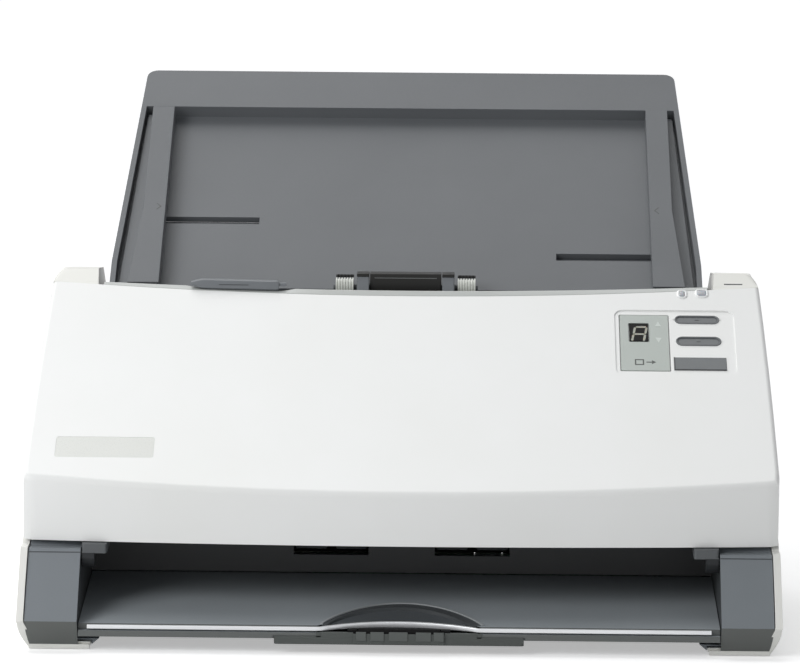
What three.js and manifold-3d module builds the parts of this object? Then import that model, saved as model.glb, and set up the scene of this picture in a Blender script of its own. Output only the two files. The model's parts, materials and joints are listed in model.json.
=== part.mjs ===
// Desktop document scanner. Millimetres, +Z up, the front faces -Y.
import * as THREE from "three";
import { mergeVertices } from "three/addons/utils/BufferGeometryUtils.js";
import Module from "manifold-3d";

const wasm = await Module();
wasm.setup();

// General sizes
const general = {
  clearance: 0.4, overrun: 40, weld: 0.0005, turnSteps: 24, curveSteps: 11, cornerSteps: 4,
  postSteps: 16, pinSteps: 12,
};
const body = {
  width: 318.6,
  depth: 170,
  rearNarrowing: 6,
  sideTuck: 4.6,
  underside: 1.5,
  floorThickness: 3,
  panelThickness: 3,
  noseHeight: 13,
  noseUndercut: 8,
};
const hinge = {
  setback: 25, drop: 6.4, knuckleRadius: 5, rimRadius: 6, pinRadius: 2, bossRadius: 4.4, depth: 16,
};
const cover = {
  lipSetback: 28,
  lipHeight: 42.4,
  bandHeight: 27.2,
  bulge: 8,
  slope: 32,
  rearSetback: 32.8562,
  rearThickness: 6,
  rearCurve: 7,
  wall: 3,
  corner: 6,
};
const pillar = { width: 25.3, skin: 2.5, solidDepth: 36 };
const bay = {
  floorThickness: 3.6, frontSetback: 3, frontHeight: 11.4, rear: 74.4, rearHeight: 20, notchHalf: 33,
};
const rear = {
  wall: 3, base: 4.8, below: 4.8, shelf: 9, shelfDrop: 6, earWidth: 24, earRise: 4.2, earDrop: 2,
};

const { clearance, overrun } = general;
const bodyHalf = body.width / 2;
const pillarInner = bodyHalf - pillar.width;
const shelfHalf = pillarInner - pillar.skin;
const frontY = -body.depth / 2;
const rearY = body.depth / 2;
const slope = THREE.MathUtils.degToRad(cover.slope);
const hingeY = frontY + hinge.setback;
const hingeZ = cover.lipHeight - hinge.drop;
const foldY = frontY + cover.lipSetback;
const foldZ = cover.lipHeight + cover.bandHeight;
const coverRearY = rearY - cover.rearSetback;
const coverRearZ = foldZ + (coverRearY - foldY) * Math.tan(slope);
const partingRise = (coverRearZ - cover.rearThickness - cover.lipHeight) / (coverRearY - foldY);
const rearTop = coverRearZ - rear.below;
const earTop = coverRearZ + rear.earRise;
const tall = earTop + overrun;
const earInner = bodyHalf - rear.earWidth;
const housingTop = body.underside + body.floorThickness;
const halfWidthAt = (y) => bodyHalf - body.rearNarrowing * ((y - frontY) / body.depth) ** 2;
const topAt = (y) => foldZ + (y - foldY) * Math.tan(slope);
const partingAt = (y) => cover.lipHeight + (y - foldY) * partingRise;

// Solids
const toSolid = (geometry) => {
  const bare = geometry.index ? geometry.toNonIndexed() : geometry.clone();
  bare.deleteAttribute("normal");
  bare.deleteAttribute("uv");
  const welded = mergeVertices(bare, general.weld);
  const places = new Float32Array(welded.attributes.position.array);
  const corners = [];
  const index = welded.index.array;
  for (let i = 0; i < index.length; i += 3) {
    const [a, b, c] = [index[i], index[i + 1], index[i + 2]];
    if (a !== b && b !== c && a !== c) corners.push(a, b, c);
  }
  const asSolid = (list) =>
    new wasm.Manifold(new wasm.Mesh({
      numProp: 3,
      vertProperties: places,
      triVerts: new Uint32Array(list),
    }));
  const solid = asSolid(corners);
  return solid.volume() < 0 ? asSolid(corners.reverse()) : solid;
};
const toGeometry = (solid) => {
  const mesh = solid.getMesh();
  const geometry = new THREE.BufferGeometry();
  geometry.setAttribute("position", new THREE.BufferAttribute(new Float32Array(mesh.vertProperties), 3));
  geometry.setIndex(new THREE.BufferAttribute(new Uint32Array(mesh.triVerts), 1));
  return geometry;
};
const cut = (first, ...others) => others.flat().reduce((rest, other) => rest.subtract(other), first);
const join = (first, ...others) => others.flat().reduce((sum, other) => sum.add(other), first);
const keep = (first, ...others) => others.flat().reduce((rest, other) => rest.intersect(other), first);
const moved = (solid, matrix) => toSolid(toGeometry(solid).applyMatrix4(matrix));
const mirrored = (solid) => moved(solid, new THREE.Matrix4().makeScale(-1, 1, 1));

const axisX = new THREE.Vector3(1, 0, 0);
const axisY = new THREE.Vector3(0, 1, 0);
const axisZ = new THREE.Vector3(0, 0, 1);
const extruded = (points, low, high) => {
  const shape = new THREE.Shape(points.map(([a, b]) => new THREE.Vector2(a, b)));
  const geometry = new THREE.ExtrudeGeometry(shape, { depth: high - low, bevelEnabled: false });
  return geometry.translate(0, 0, low);
};
// A profile drawn as [y, z] and run along X
const acrossX = (points, low, high) =>
  toSolid(extruded(points, low, high).applyMatrix4(new THREE.Matrix4().makeBasis(axisY, axisZ, axisX)));
// A plan drawn as [x, y] and run along Z
const upZ = (points, low, high) => toSolid(extruded(points, low, high));
// A front view drawn as [x, z] and run along Y
const towardsRear = new THREE.Matrix4().makeBasis(axisX, axisZ, axisY.clone().negate());
const alongY = (points, low, high) => toSolid(extruded(points, -high, -low).applyMatrix4(towardsRear));
// A plan drawn as [x, u] on a surface that leans back by an angle, n along its normal
const leaning = (y, z, angle) => new THREE.Matrix4().makeRotationX(angle).setPosition(0, y, z);
const onCover = (points, low, high) =>
  toSolid(
    extruded(
      points.map(([x, s]) => [x, -s]),
      low,
      high,
    ).applyMatrix4(leaning(coverRearY, coverRearZ, slope)),
  );
const rectangle = (left, right, low, high) => [[left, low], [right, low], [right, high], [left, high]];
const rounded = (left, right, low, high, radius, steps = general.cornerSteps) => {
  const corners = [[right - radius, high - radius, 0], [left + radius, high - radius, 1],
    [left + radius, low + radius, 2], [right - radius, low + radius, 3]];
  return corners.flatMap(([x, y, turn]) =>
    Array.from({ length: steps + 1 }, (_, i) => {
      const angle = (turn + i / steps) * (Math.PI / 2);
      return [x + radius * Math.cos(angle), y + radius * Math.sin(angle)];
    }),
  );
};
const rod = (radius, left, right, y, z, steps = general.turnSteps) => {
  const geometry = new THREE.CylinderGeometry(radius, radius, right - left, steps);
  return toSolid(geometry.rotateZ(-Math.PI / 2).translate((left + right) / 2, y, z));
};
const post = (radius, low, high, x, y, steps = general.turnSteps) => {
  const geometry = new THREE.CylinderGeometry(radius, radius, high - low, steps);
  return toSolid(geometry.rotateX(Math.PI / 2).translate(x, y, (low + high) / 2));
};
// A ring about an axis along X, drawn as [radius, place along the axis]
const turned = (profile, y, z) => {
  const points = [...profile, profile[0]].map(([r, a]) => new THREE.Vector2(r, a));
  return toSolid(new THREE.LatheGeometry(points, general.turnSteps).rotateZ(-Math.PI / 2).translate(0, y, z));
};
const spread = (count, low, high) =>
  Array.from({ length: count }, (_, i) => low + ((high - low) * i) / (count - 1));

// The assembly
const group = new THREE.Group();
const paint = {
  white: [0xf1f1ee, 0.5, 0],
  warmWhite: [0xe1e1d9, 0.55, 0],
  dark: [0x5d6468, 0.6, 0],
  bay: [0x3c4348, 0.6, 0],
  black: [0x232321, 0.5, 0],
  grey: [0x76787c, 0.55, 0],
  midGrey: [0x70747a, 0.5, 0],
  lever: [0x646c74, 0.45, 0],
  silver: [0xbec0c4, 0.35, 0.6],
  plate: [0xa8afa8, 0.4, 0],
  window: [0x1e1c19, 0.15, 0],
  glass: [0x20262a, 0.08, 0],
  light: [0xb9b6c4, 0.3, 0],
  rubber: [0x1c1c1e, 0.9, 0],
  tyre: [0x35383a, 0.85, 0],
  steel: [0xaeb2b6, 0.3, 0.9],
  gear: [0xe6e2d4, 0.5, 0],
  board: [0x1f5a3a, 0.6, 0],
  motor: [0x4a4d50, 0.4, 0.7],
};
const addPiece = (name, solid, look) => {
  const [color, roughness, metalness] = paint[look];
  const mesh = new THREE.Mesh(
    toGeometry(solid),
    new THREE.MeshStandardMaterial({ color, roughness, metalness }),
  );
  mesh.name = name;
  group.add(mesh);
};

// Plan of the body: curved sides that close in towards the rear, inset all round
const bodyPlan = (inset, low = frontY, high = rearY) => {
  const side = spread(general.curveSteps, low, high).map((y) => [halfWidthAt(y) - inset, y]);
  return [...side, ...side.map(([x, y]) => [-x, y]).reverse()];
};
// What the sides lose where they close in below the nose
const tuckedIn = (inset) =>
  [-1, 1].map((side) => {
    const outer = bodyHalf - inset;
    const points = [
      [outer, body.noseHeight], [outer - body.sideTuck, body.underside], [outer - body.sideTuck, -overrun],
      [bodyHalf + overrun, -overrun], [bodyHalf + overrun, body.noseHeight],
    ];
    return alongY(points.map(([x, z]) => [side * x, z]), frontY - overrun, rearY + overrun);
  });
// Profile of the base: nose, knuckle and the line that the cover closes on
const kneeProfile = (radius, inset) => {
  const nose = [frontY + inset, body.noseHeight];
  const away = [hingeY - nose[0], hingeZ - nose[1]];
  const reach = Math.hypot(...away);
  const rise = Math.atan2(away[1], away[0]) + Math.asin(radius / reach);
  const start = rise + Math.PI / 2;
  const end = Math.atan(partingRise) + Math.PI / 2;
  const arc = spread(general.cornerSteps + 3, start, end).map((turn) => [
    hingeY + radius * Math.cos(turn),
    hingeZ + radius * Math.sin(turn),
  ]);
  const landing = arc[arc.length - 1];
  const deckFrom = Math.max(landing[0], foldY) + clearance;
  return [nose, ...arc, [deckFrom, Math.min(landing[1], partingAt(deckFrom) - clearance)]];
};

// Bottom housing
const footPlace = { side: 20.5, front: 25, rear: 17 };
const lip = { inner: 5.2, height: 1.9, depth: 6 };
const recess = { low: 5.2, high: 9.2, depth: 26 };
const foot = { radius: 8, recess: 1.6, chamfer: 0.8 };
const boss = { radius: 4, height: 12, inset: 22, ribHeight: 6, ribThickness: 2 };
const floorPlan = bodyPlan(
  body.panelThickness + clearance,
  frontY + body.noseUndercut + clearance,
  rearY - rear.wall - clearance,
);
const footSide = bodyHalf - footPlace.side;
const footRear = rearY - footPlace.rear;
const bossSide = pillarInner - boss.inset;
const bossSpots = [footRear - boss.radius, 0];
const footFront = frontY + footPlace.front;
const footSpots = [-footSide, footSide].flatMap((x) => [footFront, footRear].map((y) => [x, y]));
let housing = join(
  upZ(floorPlan, body.underside, housingTop),
  [-bossSide, bossSide].flatMap((x) =>
    bossSpots.map((y) => post(
      boss.radius, housingTop - clearance, housingTop + boss.height, x, y, general.postSteps,
    )),
  ),
  [-bossSide, bossSide].map((x) =>
    upZ(
      rectangle(x - boss.ribThickness / 2, x + boss.ribThickness / 2, 0, bossSpots[0]),
      housingTop - clearance,
      housingTop + boss.ribHeight,
    ),
  ),
);
const lipInner = pillarInner - lip.inner;
const [recessLow, recessHigh] = [recess.low, recess.high].map((inset) => pillarInner - inset);
const lipRear = frontY + body.noseUndercut + lip.depth;
const lipZone = (side, grow) => {
  const ends = [side * (lipInner - grow), side * (bodyHalf + grow)].sort((a, b) => a - b);
  return upZ(
    rectangle(ends[0], ends[1], frontY - grow, lipRear + grow),
    body.underside - grow,
    body.underside + lip.height + grow,
  );
};
housing = cut(
  housing,
  tuckedIn(body.panelThickness + clearance),
  lipZone(-1, clearance),
  lipZone(1, clearance),
  alongY(
    [
      [-recessLow, 0], [recessLow, 0], [recessLow, body.underside], [recessHigh, housingTop + clearance],
      [-recessHigh, housingTop + clearance], [-recessLow, body.underside],
    ],
    frontY - overrun,
    frontY + recess.depth,
  ),
  footSpots.map(([x, y]) => post(
    foot.radius + clearance, body.underside - clearance, body.underside + foot.recess, x, y,
  )),
);
addPiece("bottom_housing", housing, "dark");
for (const [x, y] of footSpots) {
  const name = `foot_${y < 0 ? "front" : "rear"}_${x < 0 ? "left" : "right"}`;
  const high = body.underside + foot.recess - clearance;
  const points = [
    [0, 0], [foot.radius - foot.chamfer, 0], [foot.radius, foot.chamfer], [foot.radius, high], [0, high],
  ];
  const disc = new THREE.LatheGeometry(points.map(([r, a]) => new THREE.Vector2(r, a)), general.pinSteps);
  addPiece(name, toSolid(disc.rotateX(Math.PI / 2).translate(x, y, 0)), "rubber");
}

// Paper path, from the slot at the rear down to the bay
const path = {
  slotBehind: 13.86,
  slotBelow: 3.72,
  exitAhead: 1.9,
  exitAbove: 15,
  shares: [
    [1, 1], [0.8471, 0.9243], [0.6942, 0.8438], [0.5223, 0.7065], [0.363, 0.5198], [0.2293, 0.3129],
    [0.1083, 0.1312], [-0, 0],
  ],
  halfGap: 1.5,
  plate: 2.5,
  upperShare: 0.9426,
};
const bayRearY = frontY + bay.rear;
const pathTop = [coverRearY + path.slotBehind, coverRearZ - path.slotBelow];
const pathEnd = [bayRearY - path.exitAhead, bay.rearHeight + path.exitAbove];
const alongPath = ([shareY, shareZ]) => [
  pathEnd[0] + (pathTop[0] - pathEnd[0]) * shareY, pathEnd[1] + (pathTop[1] - pathEnd[1]) * shareZ];
const pathCurve = new THREE.SplineCurve(path.shares.map((pair) => new THREE.Vector2(...alongPath(pair))));
const pathAt = (share) => {
  const place = pathCurve.getPoint(share);
  const travel = pathCurve.getTangent(share);
  return {
    y: place.x, z: place.y, normal: [travel.y, -travel.x], angle: Math.atan2(-travel.y, -travel.x),
  };
};
const pathAtY = (y) => {
  let [from, to] = [0, 1];
  for (let i = 0; i < 40; i += 1) {
    const middle = (from + to) / 2;
    if (pathAt(middle).y > y) from = middle;
    else to = middle;
  }
  return { share: from, ...pathAt(from) };
};
const besidePath = (offset, from = 0, to = 1) =>
  spread(general.curveSteps + 4, from, to).map((share) => {
    const { y, z, normal } = pathAt(share);
    return [y + normal[0] * offset, z + normal[1] * offset];
  });
const onPath = (place, points, low, high) =>
  toSolid(extruded(points, low, high).applyMatrix4(leaning(place.y, place.z, place.angle)));
const pathAtShare = (share) => pathAtY(alongPath([share, 0])[0]);
const rollerAt = (roller) => {
  const { radius } = roller;
  const place = pathAtShare(roller.contactShare);
  return { ...roller, y: place.y - place.normal[0] * radius, z: place.z - place.normal[1] * radius };
};
const rollers = {
  pick: { contactShare: 0.8598, radius: 12, tyreHalf: 17.5 },
  feed: { contactShare: 0.4140, radius: 9, tyreHalf: 62 },
  exit: { contactShare: 0.0573, radius: 8, tyreInner: 14.9, tyreOuter: 46 },
};
const [pick, feed, exit] = [rollers.pick, rollers.feed, rollers.exit].map(rollerAt);
const exitSlot = { margin: 0.6, drop: 7, height: 16, depth: 14 };

// Gears, all of one module, in the left pillar
const gears = { module: 1, addendum: 0.8, dedendum: 1.1, inset: 13.3, width: 6, bore: 3.3 };
const gearLeft = -bodyHalf + gears.inset;
const gearRight = gearLeft + gears.width;
const toothShares = { root: 0.29, pitch: 0.2, tip: 0.11 };
const pitchRadius = (teeth) => (teeth * gears.module) / 2;
const gearOutline = (teeth, phase) => {
  const step = (2 * Math.PI) / teeth;
  const root = pitchRadius(teeth) - gears.dedendum;
  const tip = pitchRadius(teeth) + gears.addendum;
  return Array.from({ length: teeth }, (_, i) => phase + i * step).flatMap((angle) =>
    [
      [root, -toothShares.root], [tip, -toothShares.tip], [tip, toothShares.tip], [root, toothShares.root],
    ].map(
      ([radius, share]) => [
        radius * Math.cos(angle + share * step),
        radius * Math.sin(angle + share * step),
      ],
    ),
  );
};
const gearBlank = (gear, low, high) =>
  acrossX(gearOutline(gear.teeth, gear.phase).map(([y, z]) => [gear.y + y, gear.z + z]), low, high);
// The place of a gear that meshes with two others, on the rear side of the line between them
const between = (upper, lower, teeth) => {
  const near = pitchRadius(upper.teeth + teeth);
  const far = pitchRadius(lower.teeth + teeth);
  const [dy, dz] = [lower.y - upper.y, lower.z - upper.z];
  const apart = Math.hypot(dy, dz);
  const along = (near ** 2 - far ** 2 + apart ** 2) / (2 * apart);
  const aside = Math.sqrt(near ** 2 - along ** 2);
  return {
    teeth,
    y: upper.y + (dy * along - dz * aside) / apart,
    z: upper.z + (dz * along + dy * aside) / apart,
  };
};
const meshedWith = (driver, gear) => {
  const way = Math.atan2(gear.z - driver.z, gear.y - driver.y);
  const phase = way + Math.PI - Math.PI / gear.teeth + ((way - driver.phase) * driver.teeth) / gear.teeth;
  return { ...gear, phase };
};
const teeth = { pick: 18, feed: 20, exit: 20, pinion: 12, spareUpper: 2, spareLower: 5 };
const idlerTeeth = (upper, lower, spare) => {
  const reach = Math.hypot(upper.y - lower.y, upper.z - lower.z) / gears.module;
  return Math.ceil(reach - (upper.teeth + lower.teeth) / 2) + spare;
};
const feedGear = { teeth: teeth.feed, y: feed.y, z: feed.z, phase: 0 };
const pickSpot = { teeth: teeth.pick, y: pick.y, z: pick.z };
const exitSpot = { teeth: teeth.exit, y: exit.y, z: exit.z };
teeth.idlerUpper = idlerTeeth(pickSpot, feedGear, teeth.spareUpper);
teeth.idlerLower = idlerTeeth(feedGear, exitSpot, teeth.spareLower);
const upperIdler = meshedWith(feedGear, between(pickSpot, feedGear, teeth.idlerUpper));
const lowerIdler = meshedWith(feedGear, between(feedGear, exitSpot, teeth.idlerLower));
const pickGear = meshedWith(upperIdler, pickSpot);
const exitGear = meshedWith(lowerIdler, exitSpot);
const motor = { radius: 17, length: 36, boreRadius: 2.6, bearing: 5, way: -35, axle: 2.2 };
const pinionWay = THREE.MathUtils.degToRad(motor.way);
const pinionReach = pitchRadius(teeth.pinion + teeth.idlerLower);
const pinionGear = meshedWith(lowerIdler, {
  teeth: teeth.pinion,
  y: lowerIdler.y + pinionReach * Math.cos(pinionWay),
  z: lowerIdler.z + pinionReach * Math.sin(pinionWay),
});

// Rollers: shafts, tyres and gears
const shaft = { radius: 3, leftInset: 10.3, rightInset: 18.3, bearing: 3.4, axle: 2.6, collar: 5 };
const gearPiece = (name, gear) =>
  addPiece(
    name,
    cut(
      gearBlank(gear, gearLeft, gearRight),
      rod(gears.bore, gearLeft - overrun, gearRight + overrun, gear.y, gear.z),
    ),
    "gear",
  );
const idlerPiece = (name, gear) =>
  addPiece(
    name,
    join(
      gearBlank(gear, gearLeft, gearRight),
      rod(
        shaft.collar, gearRight - clearance, -pillarInner - pillar.skin - clearance, gear.y, gear.z,
        general.pinSteps,
      ),
      rod(shaft.axle, gearRight - clearance, -pillarInner + clearance, gear.y, gear.z, general.pinSteps),
    ),
    "gear",
  );
for (const [name, roller] of [["pick", pick], ["feed", feed], ["exit", exit]]) {
  addPiece(
    `${name}_shaft`,
    rod(
      shaft.radius, -bodyHalf + shaft.leftInset, bodyHalf - shaft.rightInset, roller.y, roller.z,
      general.pinSteps,
    ),
    "steel",
  );
}
const tyre = { bore: 3.3, groove: 1, grooveWidth: 2 };
const tyrePiece = (name, roller, left, right) => {
  const middle = (left + right) / 2;
  const profile = [
    [tyre.bore, left], [roller.radius, left], [roller.radius, middle - tyre.grooveWidth],
    [
      roller.radius - tyre.groove,
      middle - tyre.grooveWidth,
    ], [roller.radius - tyre.groove, middle + tyre.grooveWidth],
    [roller.radius, middle + tyre.grooveWidth], [roller.radius, right], [tyre.bore, right],
  ];
  addPiece(name, turned(profile, roller.y, roller.z), "tyre");
};
tyrePiece("pick_tyre", pick, -pick.tyreHalf, pick.tyreHalf);
tyrePiece("feed_tyre", feed, -feed.tyreHalf, feed.tyreHalf);
tyrePiece("exit_tyre_left", exit, -exit.tyreOuter, -exit.tyreInner);
tyrePiece("exit_tyre_right", exit, exit.tyreInner, exit.tyreOuter);
gearPiece("pick_gear", pickGear);
gearPiece("feed_gear", feedGear);
gearPiece("exit_gear", exitGear);
idlerPiece("upper_idler_gear", upperIdler);
idlerPiece("lower_idler_gear", lowerIdler);
addPiece(
  "motor_pinion",
  join(
    gearBlank(pinionGear, gearLeft, gearRight),
    rod(
      motor.axle,
      gearRight - clearance,
      -pillarInner + pillar.skin + motor.bearing / 2,
      pinionGear.y,
      pinionGear.z,
      general.pinSteps,
    ),
  ),
  "gear",
);
const motorLeft = -pillarInner + clearance;
addPiece(
  "drive_motor",
  cut(
    join(
      rod(motor.radius, motorLeft, motorLeft + motor.length, pinionGear.y, pinionGear.z),
      acrossX(
        rounded(pinionGear.y - motor.radius - motor.bearing, pinionGear.y + motor.radius + motor.bearing,
          pinionGear.z - motor.radius / 2, pinionGear.z + motor.radius / 2, motor.bearing),
        motorLeft, motorLeft + body.panelThickness,
      ),
    ),
    rod(motor.boreRadius, motorLeft - clearance, motorLeft + motor.bearing, pinionGear.y, pinionGear.z),
  ),
  "motor",
);

// Lower paper guide, with the bay's back wall
const guideWindow = { margin: 0.8 };
const sensor = {
  contactShare: 0.2229, glassInset: 22, glassLength: 12, glassThickness: 2, overlap: 4, length: 20,
  depth: 14, corner: 2,
};
const sensorPlace = pathAtShare(sensor.contactShare);
const glassHalf = pillarInner - sensor.glassInset;
const sensorHalf = glassHalf + sensor.overlap;
const glassPlan = rectangle(-glassHalf, glassHalf, -sensor.glassLength / 2, sensor.glassLength / 2);
const sensorPlan = rounded(-sensorHalf, sensorHalf, -sensor.length / 2, sensor.length / 2, sensor.corner);
const windowHalf = sensor.glassLength / 2 + clearance;
const windowPlan = rectangle(-glassHalf - clearance, glassHalf + clearance, -windowHalf, windowHalf);
const lowerGuideHalf = pillarInner - clearance;
const guideStart = pathAtShare(path.upperShare).share;
const exitFront = besidePath(-path.halfGap).at(-1);
const lowerGuide = cut(
  acrossX(
    [
      ...besidePath(-path.halfGap, guideStart, 1),
      [bayRearY, exitFront[1] - path.plate],
      [bayRearY, bay.rearHeight + clearance],
      [bayRearY + path.plate, bay.rearHeight + clearance],
      [bayRearY + path.plate, exitFront[1] - path.plate],
      ...besidePath(-path.halfGap - path.plate, guideStart, 1).reverse(),
    ],
    -lowerGuideHalf,
    lowerGuideHalf,
  ),
  rod(
    pick.radius + guideWindow.margin, -pick.tyreHalf - guideWindow.margin,
    pick.tyreHalf + guideWindow.margin, pick.y, pick.z,
  ),
  rod(
    feed.radius + guideWindow.margin, -feed.tyreHalf - guideWindow.margin,
    feed.tyreHalf + guideWindow.margin, feed.y, feed.z,
  ),
  [-1, 1].map((side) => {
    const ends = [
      side * (exit.tyreInner - exitSlot.margin),
      side * (exit.tyreOuter + exitSlot.margin),
    ].sort((a, b) => a - b);
    return join(
      rod(exit.radius + guideWindow.margin, ends[0], ends[1], exit.y, exit.z),
      acrossX(
        rectangle(
          exit.y - exitSlot.depth, exit.y, pathEnd[1] - exitSlot.drop,
          pathEnd[1] - exitSlot.drop + exitSlot.height,
        ),
        ends[0],
        ends[1],
      ),
    );
  }),
  onPath(sensorPlace, windowPlan, -overrun / 4, 0),
);
addPiece("lower_paper_guide", lowerGuide, "bay");

// Image sensors, one below and one above the path
const glassNear = path.halfGap;
const sensorNear = path.halfGap + path.plate + clearance;
addPiece(
  "lower_sensor_glass",
  onPath(sensorPlace, glassPlan, -glassNear - sensor.glassThickness, -glassNear),
  "glass",
);
addPiece(
  "lower_image_sensor",
  onPath(sensorPlace, sensorPlan, -sensorNear - sensor.depth, -sensorNear),
  "black",
);
addPiece(
  "upper_sensor_glass",
  onPath(sensorPlace, glassPlan, glassNear, glassNear + sensor.glassThickness),
  "glass",
);
addPiece(
  "upper_image_sensor",
  onPath(sensorPlace, sensorPlan, sensorNear, sensorNear + sensor.depth),
  "black",
);

// Pillars: nose, knuckle, deck that the cover closes on, and the walls that bear the shafts
const latch = {
  back: 19.8435, lift: 2, radius: 1.5, spare: 1.4, bore: 1.75, hookDrop: 14.6, hookThickness: 2.6,
  toe: 1.2, toeHeight: 2.4,
};
const hook = { inset: 18.7, width: 4, room: 1, ahead: 9.3, behind: 5.3 };
const latchY = coverRearY - latch.back;
const hookLeft = bodyHalf - hook.inset;
const hookRight = hookLeft + hook.width;
const pillarRear = rearY - rear.wall - clearance;
const deckEnd = coverRearY + clearance;
const pillarProfile = [
  [frontY + body.noseUndercut + clearance, housingTop + clearance],
  ...kneeProfile(hinge.knuckleRadius, body.panelThickness / 4),
  [deckEnd, partingAt(deckEnd) - clearance],
  [pillarRear, partingAt(deckEnd) - clearance],
  [pillarRear, housingTop + clearance],
];
const pillarCore = frontY + pillar.solidDepth;
const underDeck = pillar.skin * Math.hypot(1, partingRise);
const pillarCavity = [
  [pillarCore, housingTop + clearance + pillar.skin],
  [pillarCore, partingAt(pillarCore) - clearance - underDeck],
  [deckEnd, partingAt(deckEnd) - clearance - underDeck],
  [pillarRear - pillar.skin, partingAt(deckEnd) - clearance - pillar.skin],
  [pillarRear - pillar.skin, housingTop + clearance + pillar.skin],
];
const pillarPlan = upZ(bodyPlan(body.panelThickness + clearance), 0, tall);
const pillarSolid = (bearings) =>
  cut(
    keep(acrossX(pillarProfile, pillarInner, pillarInner + overrun), pillarPlan),
    tuckedIn(body.panelThickness + clearance),
    acrossX(pillarCavity, pillarInner + pillar.skin, pillarInner + overrun),
    rod(
      hinge.pinRadius + clearance, pillarInner - overrun, pillarInner + hinge.depth + clearance, hingeY,
      hingeZ, general.pinSteps,
    ),
    upZ(
      rectangle(hookLeft - hook.room, hookRight + hook.room, latchY - hook.ahead, latchY + hook.behind),
      partingAt(coverRearY) - general.overrun,
      tall,
    ),
    bearings.map(([radius, y, z]) => rod(
      radius, pillarInner - overrun, pillarInner + overrun / 4, y, z, general.pinSteps,
    )),
  );
const shaftHoles = [pick, feed, exit].map(({ y, z }) => [shaft.bearing, y, z]);
const idlerHoles = [upperIdler, lowerIdler, pinionGear].map(({ y, z }) => [shaft.axle + clearance, y, z]);
addPiece("left_pillar", mirrored(pillarSolid([...shaftHoles, ...idlerHoles])), "dark");
addPiece("right_pillar", pillarSolid(shaftHoles), "dark");

// White side panels
const sideProfile = [
  [frontY + body.noseUndercut, body.underside],
  ...kneeProfile(hinge.rimRadius, 0),
  [deckEnd, partingAt(deckEnd) - clearance],
  [deckEnd, coverRearZ],
  [deckEnd + rear.shelf, earTop],
  [rearY, earTop - rear.earDrop],
  [rearY, body.underside + rear.wall],
  [rearY - rear.wall, body.underside],
];
const panelBand = cut(
  upZ(bodyPlan(0), 0, tall),
  tuckedIn(0),
  cut(
    upZ(bodyPlan(body.panelThickness, frontY - overrun, rearY + overrun), -overrun, tall + overrun),
    tuckedIn(body.panelThickness),
  ),
);
const panelLip = keep(cut(lipZone(1, 0), tuckedIn(0)), upZ(bodyPlan(0), 0, tall));
const shoulder = { width: 4.2, drop: 5.2, turnWidth: 1.3, turnDrop: 1.7 };
const shoulderSide = halfWidthAt(deckEnd);
const shoulders = [-1, 1].map((side) => {
  const points = [
    [shoulderSide - shoulder.width, earTop], [shoulderSide - shoulder.turnWidth, earTop - shoulder.turnDrop],
    [shoulderSide, earTop - shoulder.drop], [shoulderSide + overrun, earTop - shoulder.drop],
    [shoulderSide + overrun, tall], [shoulderSide - shoulder.width, tall],
  ];
  return alongY(points.map(([x, z]) => [side * x, z]), deckEnd - overrun, rearY + overrun);
});
const sidePanel = cut(
  keep(join(panelBand, panelLip), acrossX(sideProfile, 0, body.width)),
  shoulders,
);
addPiece("right_side_panel", sidePanel, "white");
addPiece("left_side_panel", mirrored(sidePanel), "white");

// Rear cover with its shoulders, vents and cut-outs
const vent = { count: 14, pitch: 12, width: 4, length: 24, below: 17, corner: 1.9, steps: 2 };
const ventHigh = rearTop - vent.below;
const usb = {
  x: 38, low: 11.2, width: 12, height: 11, depth: 16, mouthWidth: 8.5, mouthHeight: 7.6, mouthDepth: 9,
};
const power = { x: 70, low: 11.2, width: 11, height: 11, depth: 14, mouthRadius: 3.6, mouthDepth: 10 };
const earFloor = partingAt(deckEnd);
const rearPlan = upZ(bodyPlan(body.panelThickness + clearance, 0, rearY), 0, tall);
const earProfile = [
  [deckEnd, earFloor], [deckEnd, coverRearZ], [deckEnd + rear.shelf, earTop],
  [rearY, earTop - rear.earDrop], [rearY, earFloor],
];
const shelfY = rearY - rear.wall - rear.shelf;
let rearCover = keep(
  join(
    acrossX(rectangle(rearY - rear.wall, rearY, rear.base, rearTop), -bodyHalf, bodyHalf),
    acrossX(
      [
        [shelfY, rearTop - rear.shelfDrop - rear.wall], [shelfY, rearTop - rear.shelfDrop],
        [rearY - rear.wall, rearTop], [rearY - clearance, rearTop], [rearY - rear.wall, rearTop - rear.wall],
      ],
      -shelfHalf, shelfHalf,
    ),
    [-1, 1].map((side) => {
      const ends = [side * earInner, side * bodyHalf].sort((a, b) => a - b);
      return acrossX(earProfile, ends[0], ends[1]);
    }),
  ),
  rearPlan,
);
const ventSpots = spread(
  vent.count,
  (-vent.pitch * (vent.count - 1)) / 2,
  (vent.pitch * (vent.count - 1)) / 2,
);
rearCover = cut(
  rearCover,
  shoulders,
  ventSpots.map((x) => alongY(
    rounded(
      x - vent.width / 2, x + vent.width / 2, ventHigh - vent.length, ventHigh, vent.corner, vent.steps,
    ),
    rearY - rear.shelf / 2,
    rearY + overrun,
  )),
  [usb, power].map((socket) => {
    const half = socket.width / 2 + clearance;
    const plan = rectangle(
      socket.x - half, socket.x + half, socket.low - clearance, socket.low + socket.height + clearance,
    );
    return alongY(plan, rearY - rear.shelf / 2, rearY + overrun);
  }),
);
addPiece("rear_cover", rearCover, "white");

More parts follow.
